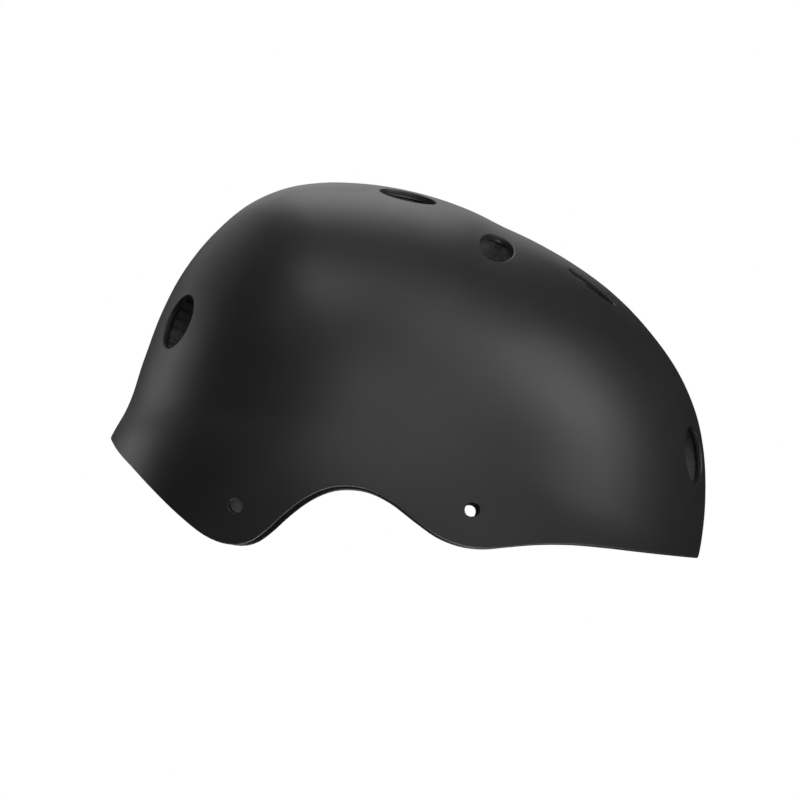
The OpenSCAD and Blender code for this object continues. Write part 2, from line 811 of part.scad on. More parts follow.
module dial_cover() {
    color([0.14, 0.14, 0.15])
    at_dial() difference() {
        translate([0, 0, cover_low]) linear_extrude(plate_t) carrier_plan();
        translate([0, 0, cover_low - 1]) cylinder(d = hub_d + 2 * play, h = plate_t + 2);
        for (side = [-1, 1])
            translate([0, side * cover_screw_y, cover_low - 1])
            cylinder(d = screw_d + play, h = plate_t + 2);
    }
}
module cover_screws() {
    long = 5.5;
    tall = 1.5;
    hollow = 0.9;
    color([0.7, 0.7, 0.72])
    at_dial()
    for (side = [-1, 1])
        translate([0, side * cover_screw_y, 0]) {
            translate([0, 0, cover_high - long]) cylinder(d = screw_d, h = long);
            translate([0, 0, cover_high]) difference() {
                cylinder(d = 2 * screw_d, h = tall);
                translate([0, 0, tall - hollow]) cylinder(d = 2.2, h = tall, $fn = 6);
            }
        }
}

// Foam pad on the carrier's face, hollowed for the back of the head
carrier_pad_t = 5;
// How far its edge lies inside the carrier's, and the share of its crown that the hollow takes
carrier_pad_inset = [1.5, 2];
carrier_pad_hollow = 0.3;
module carrier_pad() {
    half_h = carrier_h / 2 - carrier_pad_inset[0];
    half_y = carrier_w / 2 - carrier_pad_inset[1];
    color(pad_colour)
    at_dial()
    sheet_solid(
        8, 16,
        function(u, v)
            let (r = rounded(u, v))
            [
                r[0] * half_h, r[1] * half_y,
                -pad_edge_t
                    - (carrier_pad_t - pad_edge_t) * (1 - carrier_pad_hollow * (1 - v ^ 2))
                    * sqrt(max(0, 1 - u ^ 4)) * sqrt(max(0, 1 - v ^ 8))
            ],
        function(u, v) let (r = rounded(u, v)) [r[0] * half_h, r[1] * half_y, 0]
    );
}

// Curve from a to d that leaves towards b and arrives from c
function curve(a, b, c, d, t) =
    (1 - t) ^ 3 * a + 3 * (1 - t) ^ 2 * t * b + 3 * (1 - t) * t ^ 2 * c + t ^ 3 * d;

// Hanger: a flexible strip from the carrier's tab up to a plug in the foam
hanger_w = 14;
module hanger() {
    steps = 12;
    seat = skin(hanger_turn[0], hanger_turn[1], head_depth);
    way = facing(skin(hanger_turn[0], hanger_turn[1]));
    end = seat + way * (seat_sink - hanger_t / 2);
    up = [way[2], -way[0]];
    foot_x = carrier_x - plate_t - hanger_t / 2;
    foot_z = dial_z + carrier_h / 2;
    knee = [foot_x, foot_z + tab_h];
    top = [end[0], end[2]];
    bend = norm(top - knee) / 2;
    line = concat(
        [[foot_x, foot_z]],
        [for (i = [0:steps]) curve(knee, knee + [0, bend], top - up * bend, top, i / steps)]
    );
    normals = [
        for (i = [0:len(line) - 1])
            let (d = line[min(i + 1, len(line) - 1)] - line[max(i - 1, 0)])
            [-d[1], d[0]] / norm(d) * hanger_t / 2
    ];
    color([0.2, 0.2, 0.21])
    difference() {
        union() {
            rotate([90, 0, 0]) linear_extrude(hanger_w, center = true) polygon(concat(
                [for (i = [0:len(line) - 1]) line[i] + normals[i]],
                [for (i = [len(line) - 1:-1:0]) line[i] - normals[i]]
            ));
            at_hanger_seat() {
                translate([0, 0, -hanger_t]) cylinder(d = flange_d, h = hanger_t);
                cylinder(d = plug_d, h = plug_l);
            }
        }
        at_dial()
            translate([carrier_h / 2 + tab_h / 2, 0, 0])
            cylinder(d = stud_d, h = plate_t + hanger_t + 1);
    }
}

// Anchor plug at the temple, with a stud for the belt's front end
module left_anchor() {
    color([0.25, 0.25, 0.26])
    at_temple() {
        translate([0, 0, -plug_l]) cylinder(d = plug_d, h = plug_l);
        cylinder(d = flange_d, h = flange_t);
        translate([0, 0, flange_t]) stud();
    }
}
module right_anchor() {
    mirror([0, 1, 0]) left_anchor();
}

// Belt: straight over the rack's tab, then round to the temple, its bends shares of its span
rear_pull = 0.634;
front_pull = 0.466;
// Straight stretch of belt past each stud, and the play of its holes round the studs
over = 5;
hole_play = 0.2;
module left_belt() {
    steps = 18;
    rear = [carrier_x - rack_low + belt_gap + belt_t / 2, stud_y, dial_z];
    front = [temple[0], temple[1] - flange_t - belt_gap - belt_t / 2, temple[2]];
    bend_start = rear + [0, over, 0];
    bend_end = front - [over + 2, 0, 0];
    bend_rear = bend_start + [0, rear_pull * (front[1] - stud_y), 0];
    bend_front = bend_end - [front_pull * (bend_end[0] - bend_start[0]), 0, 0];
    path = concat(
        [rear - [0, tab_half, 0]],
        [
            for (i = [0:steps])
                curve(bend_start, bend_rear, bend_front, bend_end, i / steps)
        ],
        [front + [over + 1, 0, 0]]
    );
    rings = [
        for (i = [0:len(path) - 1])
            let (
                d = path[min(i + 1, len(path) - 1)] - path[max(i - 1, 0)],
                side = [d[1], -d[0], 0] / norm([d[0], d[1]]) * belt_t / 2,
                rise = [0, 0, belt_h / 2]
            )
            [
                path[i] + side + rise, path[i] - side + rise,
                path[i] - side - rise, path[i] + side - rise
            ]
    ];
    color([0.18, 0.18, 0.19])
    difference() {
        ring_solid(path[0], rings, path[len(path) - 1]);
        translate(rear - [belt_t, 0, 0]) rotate([0, 90, 0])
            cylinder(d = stud_d + hole_play, h = 2 * belt_t);
        translate(front + [0, belt_t, 0]) rotate([90, 0, 0])
            cylinder(d = stud_d + hole_play, h = 2 * belt_t);
    }
}
module right_belt() {
    mirror([0, 1, 0]) left_belt();
}

outer_shell();
foam_liner();
brow_pad();
crown_pad();
left_side_pad();
right_side_pad();
rear_pad();
hook_patches();
hanger();
dial_carrier();
carrier_pad();
dial_cover();
cover_screws();
dial_pinion();
dial_knob();
dial_screw();
detent_spring();
left_rack();
right_rack();
left_belt();
right_belt();
left_anchor();
right_anchor();
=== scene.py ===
# Open-face scooter helmet, standing on a pale floor, front to the right.
import json
import math
import bmesh
import bpy
import numpy as np
from mathutils import Matrix, Vector


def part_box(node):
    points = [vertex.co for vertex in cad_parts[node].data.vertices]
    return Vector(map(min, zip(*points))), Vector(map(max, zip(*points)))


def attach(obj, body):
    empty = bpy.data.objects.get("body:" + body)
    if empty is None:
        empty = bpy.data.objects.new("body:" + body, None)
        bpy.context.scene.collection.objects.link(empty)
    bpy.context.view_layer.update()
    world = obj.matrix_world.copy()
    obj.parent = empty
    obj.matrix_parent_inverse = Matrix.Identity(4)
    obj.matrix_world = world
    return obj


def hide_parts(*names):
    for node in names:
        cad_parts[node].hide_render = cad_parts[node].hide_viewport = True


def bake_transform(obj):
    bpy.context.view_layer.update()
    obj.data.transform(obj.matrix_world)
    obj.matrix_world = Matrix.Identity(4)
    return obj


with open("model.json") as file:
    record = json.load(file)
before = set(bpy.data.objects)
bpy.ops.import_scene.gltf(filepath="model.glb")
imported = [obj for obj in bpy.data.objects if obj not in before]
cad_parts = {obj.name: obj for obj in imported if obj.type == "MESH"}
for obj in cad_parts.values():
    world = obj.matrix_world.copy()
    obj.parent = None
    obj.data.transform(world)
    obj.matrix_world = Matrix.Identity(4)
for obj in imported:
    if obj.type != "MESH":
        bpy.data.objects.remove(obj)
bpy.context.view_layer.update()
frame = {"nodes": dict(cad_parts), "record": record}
print("model loaded")

# ---- camera, as in the photograph: level side view from the wearer's right
photoView = {"distance": 4.63, "elevation": -1.0, "roll": 1.5588,
             "aim": (-0.0045975, 0.0, 0.071418), "width": 0.38}


def placeCamera():
    roll, rise = math.radians(photoView["roll"]), math.radians(photoView["elevation"])
    right = Vector((math.cos(roll), 0, math.sin(roll)))
    level = Vector((-math.sin(roll), 0, math.cos(roll)))
    away = Vector((0, math.cos(rise), 0)) - level * math.sin(rise)
    up = level * math.cos(rise) + Vector((0, math.sin(rise), 0))
    spot = Vector(photoView["aim"]) - away * photoView["distance"]
    data = bpy.data.cameras.new("camera")
    data.sensor_fit = "HORIZONTAL"
    data.angle = 2 * math.atan(photoView["width"] / 2 / photoView["distance"])
    data.clip_start, data.clip_end = 0.1, 40
    camera = bpy.data.objects.new("camera", data)
    bpy.context.scene.collection.objects.link(camera)
    turn = Matrix((right, up, -away)).transposed().to_4x4()
    camera.matrix_world = Matrix.Translation(spot) @ turn
    bpy.context.scene.camera = camera


placeCamera()

# ---- form of the helmet, the same as the model's, in millimetres; meshes are in metres
tiny = 0.001  # millimetres, keeps divisions away from nought
least = 1e-6  # the same for plain numbers
nudge = 0.05  # millimetres to a second point, to measure how the form slopes
turnNudge = 0.2  # the same in degrees
firstTurn = -91  # degrees, just below the outline's first point
rimRange = (50.0, 150.0)  # degrees from the zenith; the rim lies between
rounds = {"skin": 8, "rim": 26, "cutter": 12, "normals": 3}  # steps of the searches
form = {
    "length": 283.2, "width": 224.0, "height": 173.8, "square": 2.45,
    "drawnSize": (283.2, 173.8), "drawnHub": (-11.3, 57.0), "wall": 3.0, "linerGap": 0.5,
    "liner": 21.0, "padGap": 1.0, "linerLift": 6.0, "napeLift": 8.0, "napePower": 6,
    "outline": [
        (-11, -94), (27, -88), (77, -69), (113, -40), (138.8, 0), (141, 15), (141.6, 32),
        (140.5, 49), (137, 66), (130, 83), (112, 108.3), (94.5, 125.3), (77, 137.6),
        (60, 147), (42.5, 155), (25, 162.8), (8, 168.3), (-9, 171.9), (-26.5, 173.7),
        (-43.5, 173.6), (-60.5, 170.7), (-77.5, 163.1), (-94, 149), (-110.5, 127),
        (-118.7, 110), (-126.7, 87), (-134.6, 62.7), (-141.6, 49.2), (-147.5, 20.5),
        (-131, -27), (-86, -73)],
    "rim": [
        (-141.6, 49.2), (-139, 45.4), (-129.3, 35), (-117.3, 23), (-105.6, 12.5), (-94, 4),
        (-88.4, 1.5), (-82.5, 0.2), (-77, 0.3), (-71.5, 2.2), (-66, 6.3), (-58, 14),
        (-47, 22.8), (-36, 27.8), (-27.5, 28.7), (-19, 27.6), (-8, 22.7), (3.4, 14.4),
        (14.8, 6.7), (26, 2.6), (37.3, 1.5), (48.4, 2.7), (62.3, 4.2), (79, 4.7), (96, 3.7),
        (113.5, 2.1), (131, 0.6), (138.8, 0)],
}
halfWidth = form["width"] / 2
foamDepth = form["wall"] + form["linerGap"]
headDepth = foamDepth + form["liner"]
padDepth = headDepth + form["padGap"]
stretchX = form["length"] / form["drawnSize"][0]
stretchZ = form["height"] / form["drawnSize"][1]
hub = np.array([form["drawnHub"][0] * stretchX, 0.0, form["drawnHub"][1] * stretchZ])


def smoothCurve(points):
    keys, values = np.array(points, float).T
    steps = np.diff(values) / np.diff(keys)
    gaps = np.diff(keys)
    slopes = np.empty_like(values)
    slopes[0], slopes[-1] = steps[0], steps[-1]
    slopes[1:-1] = (steps[:-1] * gaps[1:] + steps[1:] * gaps[:-1]) / (gaps[1:] + gaps[:-1])
    return keys, values, slopes


def readCurve(curve, key):
    keys, values, slopes = curve
    key = np.asarray(key, float)
    i = np.clip(np.searchsorted(keys, key, side="right") - 1, 0, len(keys) - 2)
    gap = keys[i + 1] - keys[i]
    t = np.clip((key - keys[i]) / gap, 0, 1)
    inside = ((2 * t**3 - 3 * t**2 + 1) * values[i] + (t**3 - 2 * t**2 + t) * gap * slopes[i]
              + (3 * t**2 - 2 * t**3) * values[i + 1] + (t**3 - t**2) * gap * slopes[i + 1])
    before = np.minimum(key - keys[0], 0) * slopes[0]
    beyond = np.maximum(key - keys[-1], 0) * slopes[-1]
    return inside + before + beyond


def bearing(x, z):
    # degrees from the front over the top, counted up from straight below
    turn = np.degrees(np.arctan2(z, x))
    return np.where(turn < firstTurn, turn + 360, turn)


reachPoints = []
for outlineX, outlineZ in form["outline"]:
    across, over = outlineX * stretchX - hub[0], outlineZ * stretchZ - hub[2]
    reachPoints.append((float(bearing(across, over)), math.hypot(across, over)))
reachPoints.append((reachPoints[0][0] + 360, reachPoints[0][1]))
reachCurve = smoothCurve(reachPoints)
rimCurve = smoothCurve([(x * stretchX, z * stretchZ) for x, z in form["rim"]])


def facing(points):
    # outward unit normals of the skin through the points
    x, z = points[:, 0] - hub[0], points[:, 2] - hub[2]
    r = np.maximum(np.hypot(x, z), tiny)
    turn = bearing(x, z)
    outline = readCurve(reachCurve, turn)
    growth = (readCurve(reachCurve, turn + turnNudge)
              - readCurve(reachCurve, turn - turnNudge)) / (2 * turnNudge)
    share = form["square"] * (r / outline) ** form["square"] / r**2
    lean = share * np.degrees(growth) / outline
    slope = np.stack([share * x + lean * z, 2 * points[:, 1] / halfWidth**2,
                      share * z - lean * x], 1)
    return slope / np.linalg.norm(slope, axis=1, keepdims=True)


def skinLevel(points):
    # 1 on the skin, less inside, more outside
    x, z = points[:, 0] - hub[0], points[:, 2] - hub[2]
    reach = np.hypot(x, z) / readCurve(reachCurve, bearing(x, z))
    return reach ** form["square"] + (points[:, 1] / halfWidth) ** 2


def skin(phi, psi, depth=0.0):
    # phi turns round from the front, psi down from the zenith, both in degrees
    phi, psi = np.radians(phi), np.radians(psi)
    way = np.stack([np.sin(psi) * np.cos(phi), np.sin(psi) * np.sin(phi), np.cos(psi)], 1)
    u = np.hypot(way[:, 0], way[:, 2])
    u = np.maximum(u, tiny) / readCurve(reachCurve, bearing(way[:, 0], way[:, 2]))
    v = np.abs(way[:, 1]) / halfWidth
    k = 1 / np.hypot(u, v)
    for _ in range(rounds["skin"]):
        k = k - (((k * u) ** form["square"] + (k * v) ** 2 - 1)
                 / (form["square"] * u * (k * u) ** (form["square"] - 1) + 2 * k * v**2))
    points = hub + way * k[:, None]
    return points - facing(points) * np.asarray(depth, float).reshape(-1, 1)


def rimTurn(phi, lift):
    # turn from the zenith down to the line that lies lift above the rim
    low, high = (np.full_like(phi, turn) for turn in rimRange)
    for _ in range(rounds["rim"]):
        mid = (low + high) / 2
        points = skin(phi, mid)
        above = points[:, 2] > readCurve(rimCurve, points[:, 0]) + lift
        low, high = np.where(above, mid, low), np.where(above, high, mid)
    return (low + high) / 2


def degreesFor(length, reach=halfWidth):
    return np.degrees(length / reach)


def sidePoint(place, side):
    x, z = place[0] * stretchX, place[1] * stretchZ
    r = math.hypot(x - hub[0], z - hub[2])
    reach = float(readCurve(reachCurve, bearing(x - hub[0], z - hub[2])))
    return np.array([x, side * halfWidth * math.sqrt(1 - (r / reach) ** form["square"]), z])


# ---- small helpers for meshes
weld = 0.00001  # vertices nearer than this, in metres, are one
sliver = 0.000003  # and faces thinner than this are joined to the next


def coords(bm):
    return np.array([v.co for v in bm.verts])


def setCoords(bm, points):
    for v, p in zip(bm.verts, points):
        v.co = p


def pieceFrom(bm, name, body="helmet"):
    mesh = bpy.data.meshes.new(name)
    bm.to_mesh(mesh)
    bm.free()
    for polygon in mesh.polygons:
        polygon.use_smooth = True
    piece = bpy.data.objects.new(name, mesh)
    bpy.context.scene.collection.objects.link(piece)
    if body:
        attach(piece, body)
    return piece


def cutterFrom(bm):
    return pieceFrom(bm, "cutter", body=None)


def bakeModifiers(piece):
    bpy.context.view_layer.update()
    graph = bpy.context.evaluated_depsgraph_get()
    mesh = bpy.data.meshes.new_from_object(piece.evaluated_get(graph), depsgraph=graph)
    old = piece.data
    piece.modifiers.clear()
    piece.data = mesh
    mesh.name = piece.name
    bpy.data.meshes.remove(old)


def carve(piece, cutter):
    step = piece.modifiers.new("cut", "BOOLEAN")
    step.operation = "DIFFERENCE"
    step.solver = "MANIFOLD"
    step.object = cutter
    bakeModifiers(piece)
    data = cutter.data
    bpy.data.objects.remove(cutter)
    bpy.data.meshes.remove(data)


def dropSlivers(piece):
    # the hair-thin faces that cutting leaves
    bm = bmesh.new()
    bm.from_mesh(piece.data)
    bmesh.ops.dissolve_degenerate(bm, dist=sliver, edges=bm.edges[:])
    bm.to_mesh(piece.data)
    bm.free()


def bowl(columns, stations, turns):
    # closed bowl: a grid wrapped round the hub, each row at (share of turn, back, depth)
    bm = bmesh.new()
    bmesh.ops.create_grid(bm, x_segments=columns, y_segments=len(stations) - 1, size=1)
    at = coords(bm)
    column = np.rint((at[:, 0] + 1) / 2 * columns).astype(int)
    row = np.rint((at[:, 1] + 1) / 2 * (len(stations) - 1)).astype(int)
    share, back, depth = np.array(stations, float).T
    psi = turns[column % columns] * share[row] - degreesFor(back[row])
    setCoords(bm, skin(column % columns * 360 / columns, np.maximum(psi, 0), depth[row]) / 1000)
    bmesh.ops.remove_doubles(bm, verts=bm.verts[:], dist=weld)
    bmesh.ops.recalc_face_normals(bm, faces=bm.faces[:])
    return bm


def roundedEdge(outer, inner, radius, steps):
    # rows of a rounded edge from depth outer to depth inner
    rows = []
    for i in range(steps + 1):
        a = math.pi / 2 * i / steps
        rows.append((1, radius * (1 - math.sin(a)), outer + radius * (1 - math.cos(a))))
    for i in range(steps + 1):
        a = math.pi / 2 * i / steps
        rows.append((1, radius * (1 - math.cos(a)), inner - radius * (1 - math.sin(a))))
    return rows


def mouldedCutter(centre, halfX, halfZ, section, segments=72):
    # cutter whose heights are counted from the skin, so that its lip is even all round;
    # section is a list of (extra radius, height) from outside to inside
    way = facing(centre[None])[0]
    along = np.cross([0, 1, 0], way)
    along /= np.linalg.norm(along)
    across = np.cross(way, along)
    bm = bmesh.new()
    bmesh.ops.create_grid(bm, x_segments=segments, y_segments=len(section) - 1, size=1)
    at = coords(bm)
    turn = (np.rint((at[:, 0] + 1) / 2 * segments) % segments) * 2 * math.pi / segments
    row = np.rint((at[:, 1] + 1) / 2 * (len(section) - 1)).astype(int)
    extra, height = np.array(section, float)[row].T
    flat = (centre + np.outer((halfX + extra) * np.cos(turn), along)
            + np.outer((halfZ + extra) * np.sin(turn), across))
    drop = np.zeros(len(flat))
    for _ in range(rounds["cutter"]):
        points = flat + np.outer(drop, way)
        level = skinLevel(points)
        drop -= (level - 1) / ((skinLevel(points + way * nudge) - level) / nudge)
    setCoords(bm, (flat + np.outer(drop + height, way)) / 1000)
    bmesh.ops.remove_doubles(bm, verts=bm.verts[:], dist=weld)
    bmesh.ops.holes_fill(bm, edges=[e for e in bm.edges if e.is_boundary], sides=0)
    bmesh.ops.recalc_face_normals(bm, faces=bm.faces[:])
    return cutterFrom(bm)


lip = {"steps": 6, "over": 3.0, "under": 4.0, "flare": 0.4, "last": math.radians(12),
       "flush": 0.02}


def lipSection(wall, radius, steps=lip["steps"]):
    # straight hole with both edges rounded, ending a little short of flush
    last, over, under = lip["last"], lip["over"], lip["under"]
    rows = [(radius + over * lip["flare"], over)]
    for i in range(steps + 1):
        a = last + (math.pi / 2 - last) * i / steps
        rows.append((radius * (1 - math.sin(a)),
                     lip["flush"] - radius * (1 - math.cos(a))))
    for i in range(steps + 1):
        a = math.pi / 2 - (math.pi / 2 - last) * i / steps
        rows.append((radius * (1 - math.sin(a)),
                     radius * (1 - math.cos(a)) - wall - lip["flush"]))
    rows.append((radius + under * lip["flare"], -wall - under))
    return rows


# ---- outer shell
shell = {"columns": 240, "outerRows": 96, "innerRows": 48, "rimRadius": 0.8, "rimSteps": 4,
         "ventRadius": 0.9, "holeRadius": 0.5, "holeSteps": 4, "holeSides": 40,
         "onSkin": 0.02}
vents = {
    "front": ((135.5, 48.7), 13.5, 13.5), "top": ((-3.2, 167.6), 13.5, 11.2),
    "rear": ((-110.4, 104.8), 13.5, 13.5), "brow": ((84.7, 127.3), 13.5, 6.0),
    "side": ((39.2, 143.5), 8.2, 14.5),
}
midVent = {"rise": 61.7, "radius": 11.0}
strapHoles = {"front": ((30.4, 19.5), 3.5), "rear": ((-79.7, 18.3), 3.5)}


def ventPlaces():
    spots = []
    for place, halfX, halfZ in vents.values():
        for side in (-1, 1):
            spots.append((sidePoint(place, side), halfX, halfZ))
    rise = math.radians(midVent["rise"])
    reach = float(readCurve(reachCurve, midVent["rise"]))
    crown = hub + reach * np.array([math.cos(rise), 0, math.sin(rise)])
    spots.append((crown, midVent["radius"], midVent["radius"]))
    return spots


def skinNormals(piece, depths):
    # smooth shading follows the drawn form wherever a corner lies on it
    mesh = piece.data
    points = np.empty(len(mesh.vertices) * 3)
    mesh.vertices.foreach_get("co", points)
    points = points.reshape(-1, 3) * 1000
    normals = np.zeros_like(points)
    paintedEdgeHighlight = np.ones(len(points))
    way = facing(points)
    for depth, sign in depths:
        moved = points + way * depth
        for _ in range(rounds["normals"]):
            again = facing(moved)
            moved = points + again * depth
        off = np.abs(skinLevel(moved) - 1) / np.maximum(
            np.abs(skinLevel(moved + again * nudge) - skinLevel(moved)) / nudge, least)
        near = off < shell["onSkin"]
        normals[near] = again[near] * sign
        paintedEdgeHighlight[near] = 0
    # corners off the drawn form, on the rounded edges, are marked for the shell's painted edge
    # highlight
    mesh.attributes.new("paintedEdgeHighlight", "FLOAT", "POINT").data.foreach_set("value", paintedEdgeHighlight)
    mesh.normals_split_custom_set_from_vertices(normals.tolist())


def makeShell():
    wall, radius = form["wall"], shell["rimRadius"]
    stations = [(k / shell["outerRows"], 0, 0) for k in range(shell["outerRows"])]
    stations += roundedEdge(0, wall, radius, shell["rimSteps"])
    stations += [(k / shell["innerRows"], 0, wall)
                 for k in range(shell["innerRows"] - 1, -1, -1)]
    phi = np.arange(shell["columns"]) * 360 / shell["columns"]
    bm = bowl(shell["columns"], stations, rimTurn(phi, 0.0))
    piece = pieceFrom(bm, "shellMoulding")
    section = lipSection(wall, shell["ventRadius"])
    for centre, halfX, halfZ in ventPlaces():
        carve(piece, mouldedCutter(centre, halfX, halfZ, section))
    section = lipSection(wall, shell["holeRadius"], shell["holeSteps"])
    for place, radius in strapHoles.values():
        for side in (-1, 1):
            carve(piece, mouldedCutter(sidePoint(place, side), radius, radius, section,
                                       shell["holeSides"]))
    dropSlivers(piece)
    skinNormals(piece, [(0, 1), (wall, -1)])
    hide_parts("outer_shell")
    print("shell made:", len(piece.data.polygons), "faces")
    return piece


shellPiece = makeShell()

# ---- foam liner
liner = {"columns": 180, "outerRows": 40, "innerRows": 60, "outerRadius": 1.0,
         "outerSteps": 3, "innerRadius": 4.0, "innerSteps": 6, "tunnelExtra": 1.0,
         "tunnelLip": 2.5, "lipSteps": 5, "lipTurn": 78, "past": 6, "notch": 17.0,
         "notchDeep": {"front": 44.0, "rear": 15.0}, "patch": 18.3, "patchSink": 0.8,
         "flange": 16.3, "plug": 8.0, "plugPlay": 0.05, "anchorDeep": 12.2,
         "hangerDeep": 13.0, "clear": 8, "over": 3}
temple = skin(np.array([67.0]), np.array([93.0]), headDepth)[0] + [0, liner["patchSink"], 0]
hangerTurn = (180.0, 77.0)
# seats of the pads: turns in degrees about the hub, lengths in millimetres
seats = {
    "brow": {"spread": 50, "gap": 3, "tall": 21, "patches": (-0.62, 0, 0.62)},
    "crown": {"behind": -36, "halfLong": 27, "halfWide": 31,
              "patches": ((0.4, -0.5), (0.4, 0.5), (-0.45, 0.0))},
    "side": {"round": 95, "spread": 24, "down": 76, "rise": 9.5, "patches": (-0.55, 0.55)},
    "rear": {"spread": 12.5, "down": 57, "rise": 11},
}


def foamLift(phi):
    back = np.maximum(0, -np.cos(np.radians(phi)))
    return form["linerLift"] + form["napeLift"] * back ** form["napePower"]


def foamTurn(phi):
    phi = np.abs((np.asarray(phi, float) + 180) % 360 - 180)
    return rimTurn(phi, foamLift(phi))


browReach = form["length"] / 2 - headDepth
crownReach = form["height"] - hub[2] - headDepth


def browSpot(u, v):
    # each spot turns u and v, from -1 to 1 across a pad, into phi and psi
    seat = seats["brow"]
    phi = u * seat["spread"]
    up = seat["gap"] + seat["tall"] * (1 + v) / 2
    return phi, foamTurn(phi) - degreesFor(up, browReach)


def crownSpot(u, v):
    seat = seats["crown"]
    x, y = seat["behind"] + u * seat["halfLong"], v * seat["halfWide"]
    return np.degrees(np.arctan2(y, x)), np.degrees(np.arctan2(np.hypot(x, y), crownReach))


def sideSpot(side, u, v):
    seat = seats["side"]
    return side * seat["round"] + u * seat["spread"], seat["down"] - v * seat["rise"]


def leftSpot(u, v):
    return sideSpot(1, u, v)


def rightSpot(u, v):
    return sideSpot(-1, u, v)


def rearSpot(u, v):
    seat = seats["rear"]
    return 180 + u * seat["spread"], seat["down"] - v * seat["rise"]


def patchSpots():
    places = [(browSpot, u, 0.0) for u in seats["brow"]["patches"]]
    places += [(crownSpot, u, v) for u, v in seats["crown"]["patches"]]
    places += [(rearSpot, 0.0, 0.0)]
    places += [(spot, u, 0.0) for spot in (leftSpot, rightSpot)
               for u in seats["side"]["patches"]]
    return [spot(np.array([u], float), np.array([v], float)) for spot, u, v in places]


def discCutter(centre, way, radius, low, high, segments=48):
    # round cutter along way, from low to high in millimetres
    bm = bmesh.new()
    bmesh.ops.create_cone(bm, cap_ends=True, segments=segments, radius1=radius / 1000,
                          radius2=radius / 1000, depth=(high - low) / 1000)
    turn = Vector((0, 0, 1)).rotation_difference(Vector(way)).to_matrix().to_4x4()
    middle = Vector((centre + way * (low + high) / 2) / 1000)
    bmesh.ops.transform(bm, matrix=Matrix.Translation(middle) @ turn, verts=bm.verts[:])
    return cutterFrom(bm)


def notchCutter(place, side, deep):
    # keyhole slot from the strap hole down through the foam's edge, deep millimetres in
    centre = sidePoint(place, side)
    radius = liner["notch"] / 2
    bm = bmesh.new()
    bmesh.ops.create_circle(bm, segments=48, radius=radius / 1000, cap_ends=True)
    bmesh.ops.rotate(bm, matrix=Matrix.Rotation(math.pi / 2, 3, "X"), verts=bm.verts[:])
    for vert in bm.verts:
        if vert.co.z < least:
            vert.co.z = -(centre[2] + liner["past"]) / 1000
            vert.co.x = math.copysign(radius / 1000, vert.co.x)
    bmesh.ops.remove_doubles(bm, verts=bm.verts[:], dist=weld)
    made = bmesh.ops.extrude_face_region(bm, geom=bm.faces[:])
    moved = [g for g in made["geom"] if isinstance(g, bmesh.types.BMVert)]
    inwards = (0, -side * (deep + liner["past"]) / 1000, 0)
    bmesh.ops.translate(bm, vec=inwards, verts=moved)
    start = np.array(centre) + [0, side * liner["past"], 0]
    bmesh.ops.translate(bm, vec=Vector(start / 1000), verts=bm.verts[:])
    bmesh.ops.recalc_face_normals(bm, faces=bm.faces[:])
    return cutterFrom(bm)


def makeLiner():
    stations = [(k / liner["outerRows"], 0, foamDepth) for k in range(liner["outerRows"])]
    steps = liner["innerSteps"]
    edge = roundedEdge(foamDepth, headDepth, liner["innerRadius"], steps)
    outerRadius = liner["outerRadius"]
    for i in range(liner["outerSteps"] + 1):
        a = math.pi / 2 * i / liner["outerSteps"]
        stations.append((1, outerRadius * (1 - math.sin(a)),
                         foamDepth + outerRadius * (1 - math.cos(a))))
    stations += edge[steps + 1:]
    stations += [(k / liner["innerRows"], 0, headDepth)
                 for k in range(liner["innerRows"] - 1, -1, -1)]
    phi = np.arange(liner["columns"]) * 360 / liner["columns"]
    bm = bowl(liner["columns"], stations, foamTurn(phi))
    piece = pieceFrom(bm, "foamLining")
    flare, extra, over = liner["tunnelLip"], liner["tunnelExtra"], liner["over"]
    section = [(extra, over), (extra, -headDepth + flare)]
    for i in range(1, liner["lipSteps"] + 1):
        a = math.radians(liner["lipTurn"]) * i / liner["lipSteps"]
        section.append((extra + flare * (1 - math.cos(a)),
                        -headDepth + flare * (1 - math.sin(a))))
    section.append((extra + flare + over, -headDepth - liner["past"]))
    for centre, halfX, halfZ in ventPlaces():
        carve(piece, mouldedCutter(centre, halfX, halfZ, section))
    for name, (place, _) in strapHoles.items():
        for side in (-1, 1):
            carve(piece, notchCutter(place, side, liner["notchDeep"][name]))
    clear, plug = liner["clear"], liner["plug"] / 2 + liner["plugPlay"]
    for phi, psi in patchSpots():
        centre = skin(phi, psi, headDepth)[0]
        way = facing(skin(phi, psi))[0]
        carve(piece, discCutter(centre, way, liner["patch"] / 2, -clear, liner["patchSink"]))
    for side in (-1, 1):
        centre, way = temple * [1, side, 1], np.array([0.0, -side, 0])
        carve(piece, discCutter(centre, way, liner["flange"] / 2, 0, clear))
        carve(piece, discCutter(centre, way, plug, -liner["anchorDeep"], clear))
    phi, psi = np.array([hangerTurn[0]]), np.array([hangerTurn[1]])
    centre, way = skin(phi, psi, headDepth)[0], facing(skin(phi, psi))[0]
    carve(piece, discCutter(centre, way, liner["flange"] / 2, -clear, liner["patchSink"]))
    carve(piece, discCutter(centre, way, plug, -clear, liner["hangerDeep"]))
    skinNormals(piece, [(foamDepth, 1), (headDepth, -1)])
    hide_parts("foam_liner")
    print("liner made:", len(piece.data.polygons), "faces")
    return piece


linerPiece = makeLiner()

